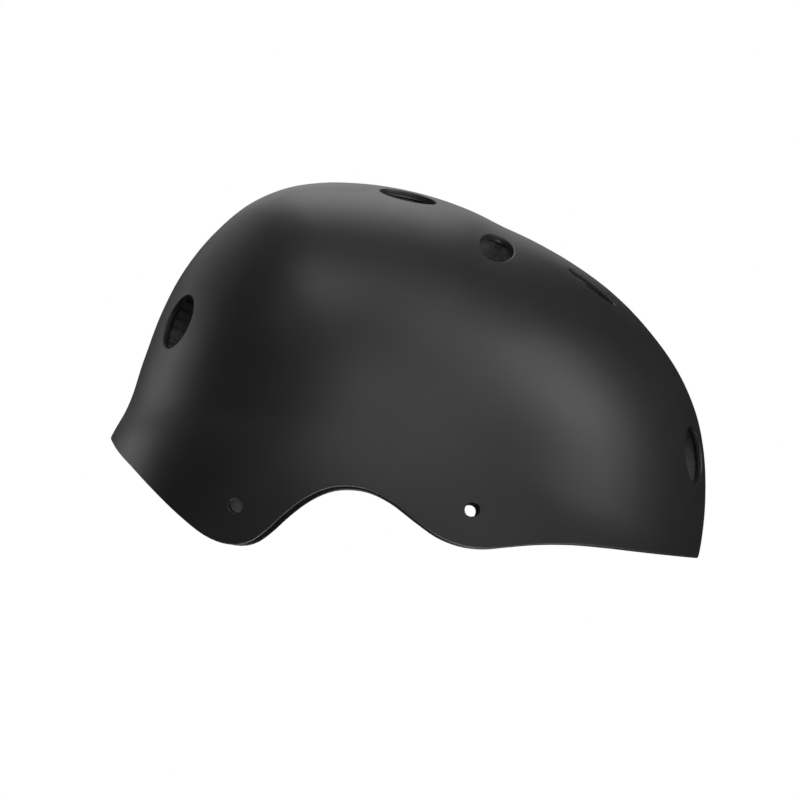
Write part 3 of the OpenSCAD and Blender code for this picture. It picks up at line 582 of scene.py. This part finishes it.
# ---- comfort pads: pressed edge, stitched border and a soft crown with channels
pads = {
    "brow": {"spot": browSpot, "size": (140, 21), "cells": (210, 36),
             "channels": (-1 / 3, 1 / 3), "node": "brow_pad"},
    "crown": {"spot": crownSpot, "size": (54, 62), "cells": (90, 100),
              "channels": (0,), "node": "crown_pad"},
    "leftSide": {"spot": leftSpot, "size": (80, 32), "cells": (120, 50),
                 "channels": (0,), "node": "left_side_pad"},
    "rightSide": {"spot": rightSpot, "size": (80, 32), "cells": (120, 50),
                  "channels": (0,), "node": "right_side_pad"},
    "rear": {"spot": rearSpot, "size": (38, 36), "cells": (66, 60),
             "channels": (), "node": "rear_pad"},
}
padForm = {"crown": 8.0, "edge": 1.7, "border": 2.6, "swell": 8.5, "corner": 14,
           "channelWidth": 2.2, "channelDeep": 0.86, "channelPower": 1.6, "stitchAt": 0.72,
           "stitchSink": 0.35, "stitchWidth": 0.5, "uneven": 0.05, "ripples": 9,
           "waves": (7, 26), "round": 0.3, "tuck": 0.35,
           "seed": 4}


def softNoise(x, y, seed):
    # a few smooth ripples, the same on every run
    rng = np.random.default_rng(seed)
    total = np.zeros_like(x)
    for _ in range(padForm["ripples"]):
        wave, turn = rng.uniform(*padForm["waves"]), rng.uniform(0, math.pi)
        start = rng.uniform(0, 6.3)
        total += np.sin((x * math.cos(turn) + y * math.sin(turn)) * 2 * math.pi / wave + start)
    return total / padForm["ripples"]


def padHeight(u, v, size, channels, seed):
    # height over the foam, from the distance in from the pad's rounded outline
    long, wide = (1 - np.abs(u)) * size[0] / 2, (1 - np.abs(v)) * size[1] / 2
    corner = padForm["corner"]
    blend = np.hypot(np.minimum(long, corner) - corner, np.minimum(wide, corner) - corner)
    inset = np.where((long < corner) & (wide < corner), corner - blend,
                     np.minimum(long, wide))
    rise = np.clip((inset - padForm["border"]) / padForm["swell"], 0, 1)
    crown = np.sqrt(np.clip(1 - (1 - rise) ** 2, 0, 1))
    for channel in channels:
        gap = np.abs(u - channel) * size[0] / 2 / padForm["channelWidth"]
        crown *= 1 - padForm["channelDeep"] * np.exp(-(gap ** padForm["channelPower"]))
    ripple = softNoise(u * size[0] / 2, v * size[1] / 2, seed)
    soft = 1 + padForm["uneven"] * ripple * rise
    seam = (inset - padForm["border"] * padForm["stitchAt"]) / padForm["stitchWidth"]
    stitch = -padForm["stitchSink"] * np.exp(-seam**2)
    return padForm["edge"] + stitch + (padForm["crown"] - padForm["edge"]) * crown * soft


def roundOff(u, v):
    # pulls a square grid's corners in
    pull = padForm["round"]
    return u * np.sqrt(1 - pull * v**2), v * np.sqrt(1 - pull * u**2)


def tuckUnder(u, v):
    # the back sheet is flat and lifts a little at its edge
    return np.where(np.maximum(np.abs(u), np.abs(v)) > 0.999, padForm["tuck"], 0.0)


def mapCloth(uvLayer, verts, across, along):
    # cloth map in metres, so that the knit is equally fine on every pad
    lookup = dict(zip(verts, zip(across, along)))
    for face in {f for vert in verts for f in vert.link_faces}:
        for loop in face.loops:
            loop[uvLayer].uv = lookup[loop.vert]


def startPad(cells):
    # front and back sheets of a pad, and its cloth map
    bm = bmesh.new()
    sheets = [bmesh.ops.create_grid(bm, x_segments=cells[0], y_segments=cells[1],
                                    size=1)["verts"] for _ in range(2)]
    return bm, sheets, bm.loops.layers.uv.new("cloth")


def closePad(bm, name):
    bmesh.ops.bridge_loops(bm, edges=[e for e in bm.edges if e.is_boundary])
    bmesh.ops.recalc_face_normals(bm, faces=bm.faces[:])
    return pieceFrom(bm, name)


def makePad(name, setting, seed):
    spot, size = setting["spot"], setting["size"]
    bm, sheets, uvLayer = startPad(setting["cells"])
    for front, verts in zip((True, False), sheets):
        at = np.array([v.co for v in verts])
        u, v = at[:, 0], at[:, 1]
        ru, rv = roundOff(u, v)
        phi, psi = spot(ru, rv)
        height = padHeight(u, v, size, setting["channels"], seed) if front else tuckUnder(u, v)
        points = skin(phi, psi, padDepth + height)
        for vert, point in zip(verts, points):
            vert.co = point / 1000
        mapCloth(uvLayer, verts, ru * size[0] / 2000, rv * size[1] / 2000)
    piece = closePad(bm, name + "Pad")
    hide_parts(setting["node"])
    return piece


padPieces = [makePad(name, setting, padForm["seed"] + i)
             for i, (name, setting) in enumerate(pads.items())]
print("pads made")

# ---- pad on the face of the dial's carrier
carrierPad = {"cells": (60, 90), "edge": 1.6, "border": 2.2, "swell": 4.5, "hollow": 0.28,
              "channel": 1.6, "channelDeep": 0.8}


def makeCarrierPad():
    low, high = (np.array(corner) * 1000 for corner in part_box("carrier_pad"))
    middle, half = (low + high) / 2, (high - low) / 2
    thick = high[0] - low[0]
    bm, sheets, uvLayer = startPad(carrierPad["cells"])
    for front, verts in zip((True, False), sheets):
        at = np.array([v.co for v in verts])
        u, v = at[:, 0], at[:, 1]
        up, over = roundOff(u, v)
        up, over = up * half[2], over * half[1]
        inset = np.minimum((1 - np.abs(u)) * half[2], (1 - np.abs(v)) * half[1])
        rise = np.clip((inset - carrierPad["border"]) / carrierPad["swell"], 0, 1)
        crown = np.sqrt(1 - (1 - rise) ** 2) * (1 - carrierPad["hollow"] * (1 - v**2))
        gap = np.abs(v) * half[1] / carrierPad["channel"]
        crown *= 1 - carrierPad["channelDeep"] * np.exp(-(gap ** padForm["channelPower"]))
        height = carrierPad["edge"] + (thick - carrierPad["edge"]) * crown
        height = height if front else tuckUnder(u, v)
        for vert, h, y, z in zip(verts, height, over, up):
            vert.co = Vector((low[0] + h, middle[1] + y, middle[2] + z)) / 1000
        mapCloth(uvLayer, verts, over / 1000, up / 1000)
    piece = closePad(bm, "carrierPad")
    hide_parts("carrier_pad")
    return piece


padPieces.append(makeCarrierPad())

# ---- head belts: flexible strips from the racks round to the temples
belt = {"stations": 96, "thickness": 1.6, "width": 11.0, "tabHalf": 4.5, "over": 5.0,
        "rearPull": 0.634, "frontPull": 0.466, "stud": 5.6, "studPlay": 0.1, "cutter": 4,
        "lead": 1.0, "holeSides": 32, "crease": 40,
        "section": [(0.8, -4.9), (0.8, -3.9), (0.55, -3.5), (0.55, 3.5), (0.8, 3.9),
                    (0.8, 4.9), (0.66, 5.3), (0.3, 5.5), (-0.3, 5.5), (-0.66, 5.3),
                    (-0.8, 4.9), (-0.8, 3.9), (-0.55, 3.5), (-0.55, -3.5), (-0.8, -3.9),
                    (-0.8, -4.9), (-0.66, -5.3), (-0.3, -5.5), (0.3, -5.5), (0.66, -5.3)]}


def beltPath(low, high):
    # middle line of the left belt in millimetres, from the rack's tab to the temple
    rear = np.array([low[0] + belt["thickness"] / 2, low[1] + belt["tabHalf"],
                     low[2] + belt["width"] / 2])
    front = np.array([high[0] - belt["over"] - belt["lead"], high[1] - belt["thickness"] / 2,
                      high[2] - belt["width"] / 2])
    a, d = rear + [0, belt["over"], 0], front - [belt["over"] + 2 * belt["lead"], 0, 0]
    b = a + [0, belt["rearPull"] * (front[1] - rear[1]), 0]
    c = d - [belt["frontPull"] * (d[0] - a[0]), 0, 0]
    t = np.linspace(0, 1, belt["stations"] - 2)[:, None]
    bend = (1 - t) ** 3 * a + 3 * (1 - t) ** 2 * t * b + 3 * (1 - t) * t**2 * c + t**3 * d
    start = rear - [0, belt["tabHalf"], 0]
    end = front + [belt["over"] + belt["lead"], 0, 0]
    return np.vstack([start, bend, end]), rear, front


def makeBelt(side, name, node):
    low, high = (np.array(corner) * 1000 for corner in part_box("left_belt"))
    path, rear, front = beltPath(low, high)
    step = np.gradient(path, axis=0)
    across = np.stack([step[:, 1], -step[:, 0], 0 * step[:, 0]], 1)
    across /= np.linalg.norm(across, axis=1, keepdims=True)
    section = np.array(belt["section"])
    count = len(section)
    bm = bmesh.new()
    bmesh.ops.create_grid(bm, x_segments=count, y_segments=len(path) - 1, size=1)
    at = coords(bm)
    ring = np.rint((at[:, 0] + 1) / 2 * count).astype(int) % count
    row = np.rint((at[:, 1] + 1) / 2 * (len(path) - 1)).astype(int)
    points = path[row] + across[row] * section[ring, :1]
    points[:, 2] += section[ring, 1]
    setCoords(bm, points * [1, side, 1] / 1000)
    bmesh.ops.remove_doubles(bm, verts=bm.verts[:], dist=weld / 2)
    bmesh.ops.holes_fill(bm, edges=[e for e in bm.edges if e.is_boundary], sides=0)
    bmesh.ops.recalc_face_normals(bm, faces=bm.faces[:])
    piece = pieceFrom(bm, name, body=None)
    hole, reach = belt["stud"] / 2 + belt["studPlay"], belt["cutter"]
    for centre, way in ((rear, (1, 0, 0)), (front, (0, 1, 0))):
        carve(piece, discCutter(centre * [1, side, 1], np.array(way, float), hole, -reach,
                                reach, belt["holeSides"]))
    piece.data.set_sharp_from_angle(angle=math.radians(belt["crease"]))
    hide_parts(node)
    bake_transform(piece)
    return piece


beltPieces = [makeBelt(1, "leftBelt", "left_belt"),
              makeBelt(-1, "rightBelt", "right_belt")]
print("carrier pad and belts made")

# ---- shared shader groups


def makeGroup(name, scales, outputs):
    # takes a place and its scales, gives numbers
    tree = bpy.data.node_groups.new(name, "ShaderNodeTree")
    sockets = tree.interface
    sockets.new_socket("Vector", in_out="INPUT", socket_type="NodeSocketVector")
    for label, value in scales.items():
        socket = sockets.new_socket(label, in_out="INPUT", socket_type="NodeSocketFloat")
        socket.default_value = value
    for label in outputs:
        sockets.new_socket(label, in_out="OUTPUT", socket_type="NodeSocketFloat")
    given, out = tree.nodes.new("NodeGroupInput"), tree.nodes.new("NodeGroupOutput")
    return tree, given.outputs["Vector"], given.outputs, out.inputs


def addMath(tree, operation, first, second=None):
    node = tree.nodes.new("ShaderNodeMath")
    node.operation = operation
    for socket, value in zip(node.inputs, (first, second)):
        if isinstance(value, (int, float)):
            socket.default_value = value
        elif value is not None:
            tree.links.new(value, socket)
    return node.outputs[0]


def times(tree, first, second):
    return addMath(tree, "MULTIPLY", first, second)


def addRange(tree, value, fromLow, fromHigh, toLow, toHigh):
    node = tree.nodes.new("ShaderNodeMapRange")
    tree.links.new(value, node.inputs["Value"])
    for label, number in (("From Min", fromLow), ("From Max", fromHigh),
                          ("To Min", toLow), ("To Max", toHigh)):
        node.inputs[label].default_value = number
    return node.outputs["Result"]


def addNoise(tree, vector, scale, detail=2.0, roughness=0.5):
    node = tree.nodes.new("ShaderNodeTexNoise")
    tree.links.new(vector, node.inputs["Vector"])
    if isinstance(scale, (int, float)):
        node.inputs["Scale"].default_value = scale
    else:
        tree.links.new(scale, node.inputs["Scale"])
    node.inputs["Detail"].default_value = detail
    node.inputs["Roughness"].default_value = roughness
    return node.outputs["Fac"]


def addCells(tree, vector, scale, feature="F1"):
    node = tree.nodes.new("ShaderNodeTexVoronoi")
    node.feature = feature
    tree.links.new(vector, node.inputs["Vector"])
    tree.links.new(scale, node.inputs["Scale"])
    return node


def grainGroup():
    # moulded grain: fine pebbles, and slow patches that vary tone and gloss
    tree, place, given, out = makeGroup(
        "mouldedGrain", {"Pebbles": 1600.0, "Patches": 18.0}, ("Height", "Tone"))
    pebbles = addCells(tree, place, given["Pebbles"], "SMOOTH_F1")
    fine = addNoise(tree, place, given["Pebbles"], 3.0)
    height = addMath(tree, "ADD", times(tree, pebbles.outputs["Distance"], 0.6),
                     times(tree, fine, 0.5))
    tree.links.new(height, out["Height"])
    slow = addNoise(tree, place, given["Patches"], 4.0, 0.6)
    tree.links.new(addRange(tree, slow, 0.3, 0.7, 0.0, 1.0), out["Tone"])
    return tree


def smudgeGroup():
    # faint handling marks and dust specks
    tree, place, given, out = makeGroup("handlingMarks", {"Scale": 30.0},
                                        ("Smudge", "Dust"))
    stretch = tree.nodes.new("ShaderNodeMapping")
    stretch.inputs["Scale"].default_value = (1.0, 2.2, 0.7)
    stretch.inputs["Rotation"].default_value = (0.4, 0.2, 0.7)
    tree.links.new(place, stretch.inputs["Vector"])
    broad = addNoise(tree, stretch.outputs[0], given["Scale"], 5.0, 0.62)
    tree.links.new(addRange(tree, broad, 0.52, 0.72, 0.0, 1.0), out["Smudge"])
    specks = addNoise(tree, place, times(tree, given["Scale"], 45.0), 1.0)
    tree.links.new(addRange(tree, specks, 0.74, 0.82, 0.0, 1.0), out["Dust"])
    return tree


def beadGroup():
    # moulded bead foam: rounded cells, each a little different in tone
    tree, place, given, out = makeGroup("foamBeads", {"Scale": 300.0},
                                        ("Height", "Tone", "Seams"))
    cells = addCells(tree, place, given["Scale"])
    borders = addCells(tree, place, given["Scale"], "DISTANCE_TO_EDGE")
    seams = addRange(tree, borders.outputs["Distance"], 0.0, 0.12, 1.0, 0.0)
    tree.links.new(seams, out["Seams"])
    tree.links.new(addRange(tree, borders.outputs["Distance"], 0.0, 0.3, 0.0, 1.0), out["Height"])
    apart = tree.nodes.new("ShaderNodeSeparateColor")
    tree.links.new(cells.outputs["Color"], apart.inputs[0])
    tree.links.new(apart.outputs[0], out["Tone"])
    return tree


def knitGroup():
    # brushed knit: rows of loops with a soft nap over them
    tree, place, given, out = makeGroup("brushedKnit", {"Loops": 800.0}, ("Height", "Nap"))
    parts = tree.nodes.new("ShaderNodeSeparateXYZ")
    tree.links.new(place, parts.inputs[0])
    turns = times(tree, given["Loops"], math.pi)
    across = times(tree, parts.outputs["X"], turns)
    along = times(tree, parts.outputs["Y"], turns)
    wale = addMath(tree, "ABSOLUTE", addMath(tree, "SINE", across))
    lean = addMath(tree, "ADD", along, times(tree, wale, 1.1))
    course = addMath(tree, "ABSOLUTE", addMath(tree, "SINE", lean))
    loops = times(tree, addMath(tree, "POWER", wale, 0.7),
                  addRange(tree, course, 0.0, 1.0, 0.35, 1.0))
    nap = addNoise(tree, place, times(tree, given["Loops"], 2.6), 4.0, 0.7)
    height = addMath(tree, "ADD", times(tree, loops, 0.7), times(tree, nap, 0.4))
    tree.links.new(height, out["Height"])
    tree.links.new(addRange(tree, nap, 0.3, 0.7, 0.0, 1.0), out["Nap"])
    return tree


groups = {"grain": grainGroup(), "marks": smudgeGroup(), "beads": beadGroup(),
          "knit": knitGroup()}

# ---- materials; colours as rendered, sizes in metres


def startMaterial(name, roughness, specular=0.5):
    material = bpy.data.materials.new(name)
    material.use_nodes = True
    tree = material.node_tree
    shader = tree.nodes["Principled BSDF"]
    shader.inputs["Roughness"].default_value = roughness
    shader.inputs["Specular IOR Level"].default_value = specular
    place = tree.nodes.new("ShaderNodeTexCoord").outputs["Object"]
    return material, tree, shader, place


def paint(tree, shader, colour, rough):
    tree.links.new(colour, shader.inputs["Base Color"])
    tree.links.new(rough, shader.inputs["Roughness"])


def placeGroup(tree, group, vector, **values):
    node = tree.nodes.new("ShaderNodeGroup")
    node.node_tree = groups[group]
    tree.links.new(vector, node.inputs["Vector"])
    for label, value in values.items():
        node.inputs[label].default_value = value
    return node.outputs


def mixColours(tree, mask, first, second, share=None):
    node = tree.nodes.new("ShaderNodeMix")
    node.data_type = "RGBA"
    if share is not None:
        mask = times(tree, mask, share)
    tree.links.new(mask, node.inputs["Factor"])
    for socket, colour in ((node.inputs[6], first), (node.inputs[7], second)):
        if isinstance(colour, tuple):
            socket.default_value = (*colour, 1)
        else:
            tree.links.new(colour, socket)
    return node.outputs[2]


def addBump(tree, shader, height, strength, distance, before=None):
    node = tree.nodes.new("ShaderNodeBump")
    node.inputs["Strength"].default_value = strength
    node.inputs["Distance"].default_value = distance
    tree.links.new(height, node.inputs["Height"])
    if before is not None:
        tree.links.new(before, node.inputs["Normal"])
    tree.links.new(node.outputs[0], shader.inputs["Normal"])
    return node.outputs[0]


# the edge tone is a painted highlight, put on the shell's rounded lips and rim edges
shellFinish = {"dark": (0.017, 0.017, 0.018), "light": (0.021, 0.021, 0.022),
               "edge": (0.024, 0.024, 0.025), "dust": (0.10, 0.10, 0.095),
               "roughness": (0.40, 0.46), "pebbles": 1500.0, "bump": 0.10}


def shellMaterial():
    # satin moulded plastic, a little paler on the rounded lips and rim edges: a painted highlight
    material, tree, shader, place = startMaterial("satinShell", 0.43)
    grain = placeGroup(tree, "grain", place, Pebbles=shellFinish["pebbles"], Patches=14.0)
    marks = placeGroup(tree, "marks", place, Scale=22.0)
    paintedEdgeHighlight = tree.nodes.new("ShaderNodeAttribute")
    paintedEdgeHighlight.attribute_name = "paintedEdgeHighlight"
    base = mixColours(tree, grain["Tone"], shellFinish["dark"], shellFinish["light"])
    # painted highlight: the rounded lips and rim edges go half way to the paler edge tone
    base = mixColours(tree, paintedEdgeHighlight.outputs["Fac"], base, shellFinish["edge"], 0.5)
    base = mixColours(tree, marks["Dust"], base, shellFinish["dust"], 0.12)
    low, high = shellFinish["roughness"]
    rough = addRange(tree, grain["Tone"], 0.0, 1.0, low, high)
    rough = addMath(tree, "ADD", rough, times(tree, marks["Smudge"], 0.03))
    paint(tree, shader, base, rough)
    addBump(tree, shader, grain["Height"], shellFinish["bump"], 0.0002)
    return material


softTones = {
    "foam": ((0.050, 0.050, 0.052), (0.066, 0.066, 0.069)), "seam": (0.030, 0.030, 0.031),
    "cloth": ((0.022, 0.022, 0.024), (0.060, 0.060, 0.064)), "nap": (0.075, 0.075, 0.079),
    "lint": (0.2, 0.2, 0.19), "hook": ((0.02, 0.02, 0.022), (0.075, 0.075, 0.08)),
}


def foamMaterial():
    # moulded beads with darker seams between them
    material, tree, shader, place = startMaterial("beadFoam", 0.78, 0.3)
    beads = placeGroup(tree, "beads", place, Scale=290.0)
    grain = placeGroup(tree, "grain", place, Pebbles=2600.0, Patches=30.0)
    base = mixColours(tree, beads["Tone"], *softTones["foam"])
    base = mixColours(tree, beads["Seams"], base, softTones["seam"], 0.5)
    paint(tree, shader, base, addRange(tree, beads["Tone"], 0, 1, 0.7, 0.85))
    first = addBump(tree, shader, beads["Height"], 0.3, 0.0003)
    addBump(tree, shader, grain["Height"], 0.2, 0.0002, first)
    return material


def clothMaterial():
    # brushed knit over soft foam, on each pad's own cloth map
    material, tree, shader, place = startMaterial("brushedCloth", 0.9, 0.2)
    cloth = tree.nodes.new("ShaderNodeUVMap")
    cloth.uv_map = "cloth"
    knit = placeGroup(tree, "knit", cloth.outputs[0], Loops=850.0)
    marks = placeGroup(tree, "marks", place, Scale=60.0)
    base = mixColours(tree, knit["Height"], *softTones["cloth"])
    base = mixColours(tree, knit["Nap"], base, softTones["nap"], 0.35)
    base = mixColours(tree, marks["Dust"], base, softTones["lint"], 0.3)
    paint(tree, shader, base, addRange(tree, knit["Nap"], 0, 1, 0.85, 0.97))
    shader.inputs["Sheen Weight"].default_value = 0.25
    shader.inputs["Sheen Roughness"].default_value = 0.5
    addBump(tree, shader, knit["Height"], 0.8, 0.0005)
    return material


def hookMaterial():
    # hook tape: rows of short stiff hooks
    material, tree, shader, place = startMaterial("hookTape", 0.7, 0.35)
    hooks = placeGroup(tree, "beads", place, Scale=850.0)
    base = mixColours(tree, hooks["Height"], *softTones["hook"])
    paint(tree, shader, base, addRange(tree, hooks["Tone"], 0, 1, 0.55, 0.8))
    addBump(tree, shader, hooks["Height"], 1.0, 0.0006)
    return material


def plasticMaterial(name, dark, light, roughness, bump, pebbles=2200.0, specular=0.5):
    # injection-moulded plastic with fine grain and faint handling marks
    material, tree, shader, place = startMaterial(name, roughness, specular)
    grain = placeGroup(tree, "grain", place, Pebbles=pebbles, Patches=45.0)
    marks = placeGroup(tree, "marks", place, Scale=90.0)
    base = mixColours(tree, grain["Tone"], dark, light)
    base = mixColours(tree, marks["Smudge"], base, light, 0.5)
    rough = addRange(tree, grain["Tone"], 0, 1, roughness - 0.05, roughness + 0.05)
    rough = addMath(tree, "ADD", rough, times(tree, marks["Smudge"], 0.06))
    paint(tree, shader, base, rough)
    addBump(tree, shader, grain["Height"], bump, 0.0002)
    return material


def steelMaterial(name, tone, roughness, stretch):
    # steel with drawn lines along one axis
    material, tree, shader, place = startMaterial(name, roughness)
    lines = tree.nodes.new("ShaderNodeMapping")
    lines.inputs["Scale"].default_value = stretch
    tree.links.new(place, lines.inputs["Vector"])
    grain = placeGroup(tree, "grain", lines.outputs[0], Pebbles=2400.0, Patches=160.0)
    base = mixColours(tree, grain["Tone"], tuple(0.82 * c for c in tone), tone)
    paint(tree, shader, base, addRange(tree, grain["Height"], 0.2, 0.8,
                                       roughness - 0.07, roughness + 0.1))
    shader.inputs["Metallic"].default_value = 1.0
    addBump(tree, shader, grain["Height"], 0.12, 0.0001)
    return material


finishes = {
    "shell": shellMaterial(), "foam": foamMaterial(), "pad_cloth": clothMaterial(),
    "hook": hookMaterial(),
    "fit_plastic": plasticMaterial("fitPlastic", (0.045, 0.045, 0.048), (0.062, 0.062, 0.066),
                                   0.5, 0.3),
    "belt_plastic": plasticMaterial("beltPlastic", (0.060, 0.060, 0.064),
                                    (0.080, 0.080, 0.086), 0.42, 0.16),
    "pinion_plastic": plasticMaterial("pinionPlastic", (0.58, 0.58, 0.54), (0.66, 0.66, 0.62),
                                      0.36, 0.06),
    "knob": plasticMaterial("softTouchKnob", (0.030, 0.030, 0.032), (0.042, 0.042, 0.045),
                            0.6, 0.22, 2800.0, 0.4),
    "spring_steel": steelMaterial("springSteel", (0.60, 0.61, 0.62), 0.26, (1.0, 0.06, 1.0)),
    "screw_steel": steelMaterial("screwSteel", (0.57, 0.57, 0.58), 0.34, (0.2, 1.0, 1.0)),
}


def dress(piece, slot):
    piece.data.materials.clear()
    piece.data.materials.append(finishes[slot])


dress(shellPiece, "shell")
dress(linerPiece, "foam")
for piece in padPieces:
    dress(piece, "pad_cloth")
for piece in beltPieces:
    dress(piece, "belt_plastic")
for part in frame["record"]["subparts"]:
    node = frame["nodes"][part["node"]]
    for socket in node.material_slots:
        socket.material = finishes[part["material_slot"]]
print("materials made")

# ---- floor, surroundings and lights
floor = {"size": 6.0, "colour": (0.86, 0.86, 0.85), "white": 0.7, "fade": (0.3, 1.5)}


def makeFloor():
    bm = bmesh.new()
    bmesh.ops.create_grid(bm, x_segments=1, y_segments=1, size=floor["size"])
    mesh = bpy.data.meshes.new("floor")
    bm.to_mesh(mesh)
    bm.free()
    plane = bpy.data.objects.new("floor", mesh)
    bpy.context.scene.collection.objects.link(plane)
    material = bpy.data.materials.new("paleFloor")
    material.use_nodes = True
    tree = material.node_tree
    shader = tree.nodes["Principled BSDF"]
    shader.inputs["Base Color"].default_value = (*floor["colour"], 1)
    shader.inputs["Roughness"].default_value = 0.85
    shader.inputs["Specular IOR Level"].default_value = 0.2
    rays = tree.nodes.new("ShaderNodeLightPath")
    side = tree.nodes.new("ShaderNodeNewGeometry")
    # to the camera the floor is part white, fades to white far out, and keeps the shadow
    place = tree.nodes.new("ShaderNodeTexCoord")
    reach = tree.nodes.new("ShaderNodeVectorMath")
    reach.operation = "LENGTH"
    tree.links.new(place.outputs["Object"], reach.inputs[0])
    share = addRange(tree, reach.outputs["Value"], *floor["fade"], floor["white"], 1.0)
    white = tree.nodes.new("ShaderNodeEmission")
    pale = tree.nodes.new("ShaderNodeMixShader")
    tree.links.new(times(tree, rays.outputs["Is Camera Ray"], share), pale.inputs[0])
    tree.links.new(shader.outputs[0], pale.inputs[1])
    tree.links.new(white.outputs[0], pale.inputs[2])
    # only a camera above the floor sees it: the lamp under it shines through, it throws no
    # light on the shell, and a camera a little below it looks past it
    above = addMath(tree, "SUBTRACT", 1.0, side.outputs["Backfacing"])
    seen = times(tree, rays.outputs["Is Camera Ray"], above)
    clear = tree.nodes.new("ShaderNodeBsdfTransparent")
    mix = tree.nodes.new("ShaderNodeMixShader")
    tree.links.new(seen, mix.inputs[0])
    tree.links.new(clear.outputs[0], mix.inputs[1])
    tree.links.new(pale.outputs[0], mix.inputs[2])
    tree.links.new(mix.outputs[0], tree.nodes["Material Output"].inputs["Surface"])
    mesh.materials.append(material)


makeFloor()

surround = {"colour": (1.0, 1.0, 1.0), "light": 0.025}


def makeSurround():
    world = bpy.data.worlds.new("studio")
    bpy.context.scene.world = world
    world.use_nodes = True
    tree = world.node_tree
    background = tree.nodes["Background"]
    background.inputs["Color"].default_value = (*surround["colour"], 1)
    rays = tree.nodes.new("ShaderNodeLightPath")
    seen = addMath(tree, "MAXIMUM", rays.outputs["Is Camera Ray"],
                   rays.outputs["Is Transmission Ray"])
    tree.links.new(addRange(tree, seen, 0, 1, surround["light"], 1.0),
                   background.inputs["Strength"])


makeSurround()

# each lamp: turn from the camera's side towards the helmet's front, rise, width, watts
lampSet = {"aim": (0, 0, 0.08), "away": 1.5}
lamps = {
    "sideUnder": (20, -30, 0.8, 1.5),
    "sideLow": (0, 5, 0.8, 3.6),
    "sideMid": (30, 30, 0.8, 2.9),
    "sideHigh": (30, 55, 0.8, 1.4),
    "frontLow": (60, 5, 0.8, 5.2),
    "frontMid": (60, 30, 0.8, 5.0),
    "rearHigh": (-30, 55, 0.8, 4.0),
    "rearLow": (-120, 5, 0.8, 2.9),
    "rearMid": (-120, 30, 0.8, 0.4),
    "farRear": (-150, 30, 0.8, 0.9),
    "farMid": (180, 30, 0.8, 1.8),
    "farHigh": (180, 55, 0.8, 3.4),
    "under": (0, -90, 1.2, 20.0),
}


def makeLamps():
    for name, (turn, rise, width, watts) in lamps.items():
        a, e = math.radians(turn), math.radians(rise)
        way = Vector((math.sin(a) * math.cos(e), -math.cos(a) * math.cos(e), math.sin(e)))
        data = bpy.data.lights.new(name, "AREA")
        data.shape = "RECTANGLE"
        data.size, data.size_y, data.energy = width, width, watts
        lamp = bpy.data.objects.new(name, data)
        bpy.context.scene.collection.objects.link(lamp)
        lamp.location = Vector(lampSet["aim"]) + way * lampSet["away"]
        lamp.visible_camera = False
        lamp.rotation_euler = way.to_track_quat("Z", "Y").to_euler()


makeLamps()
bpy.context.scene.view_settings.view_transform = "Standard"
print("floor and lights made")
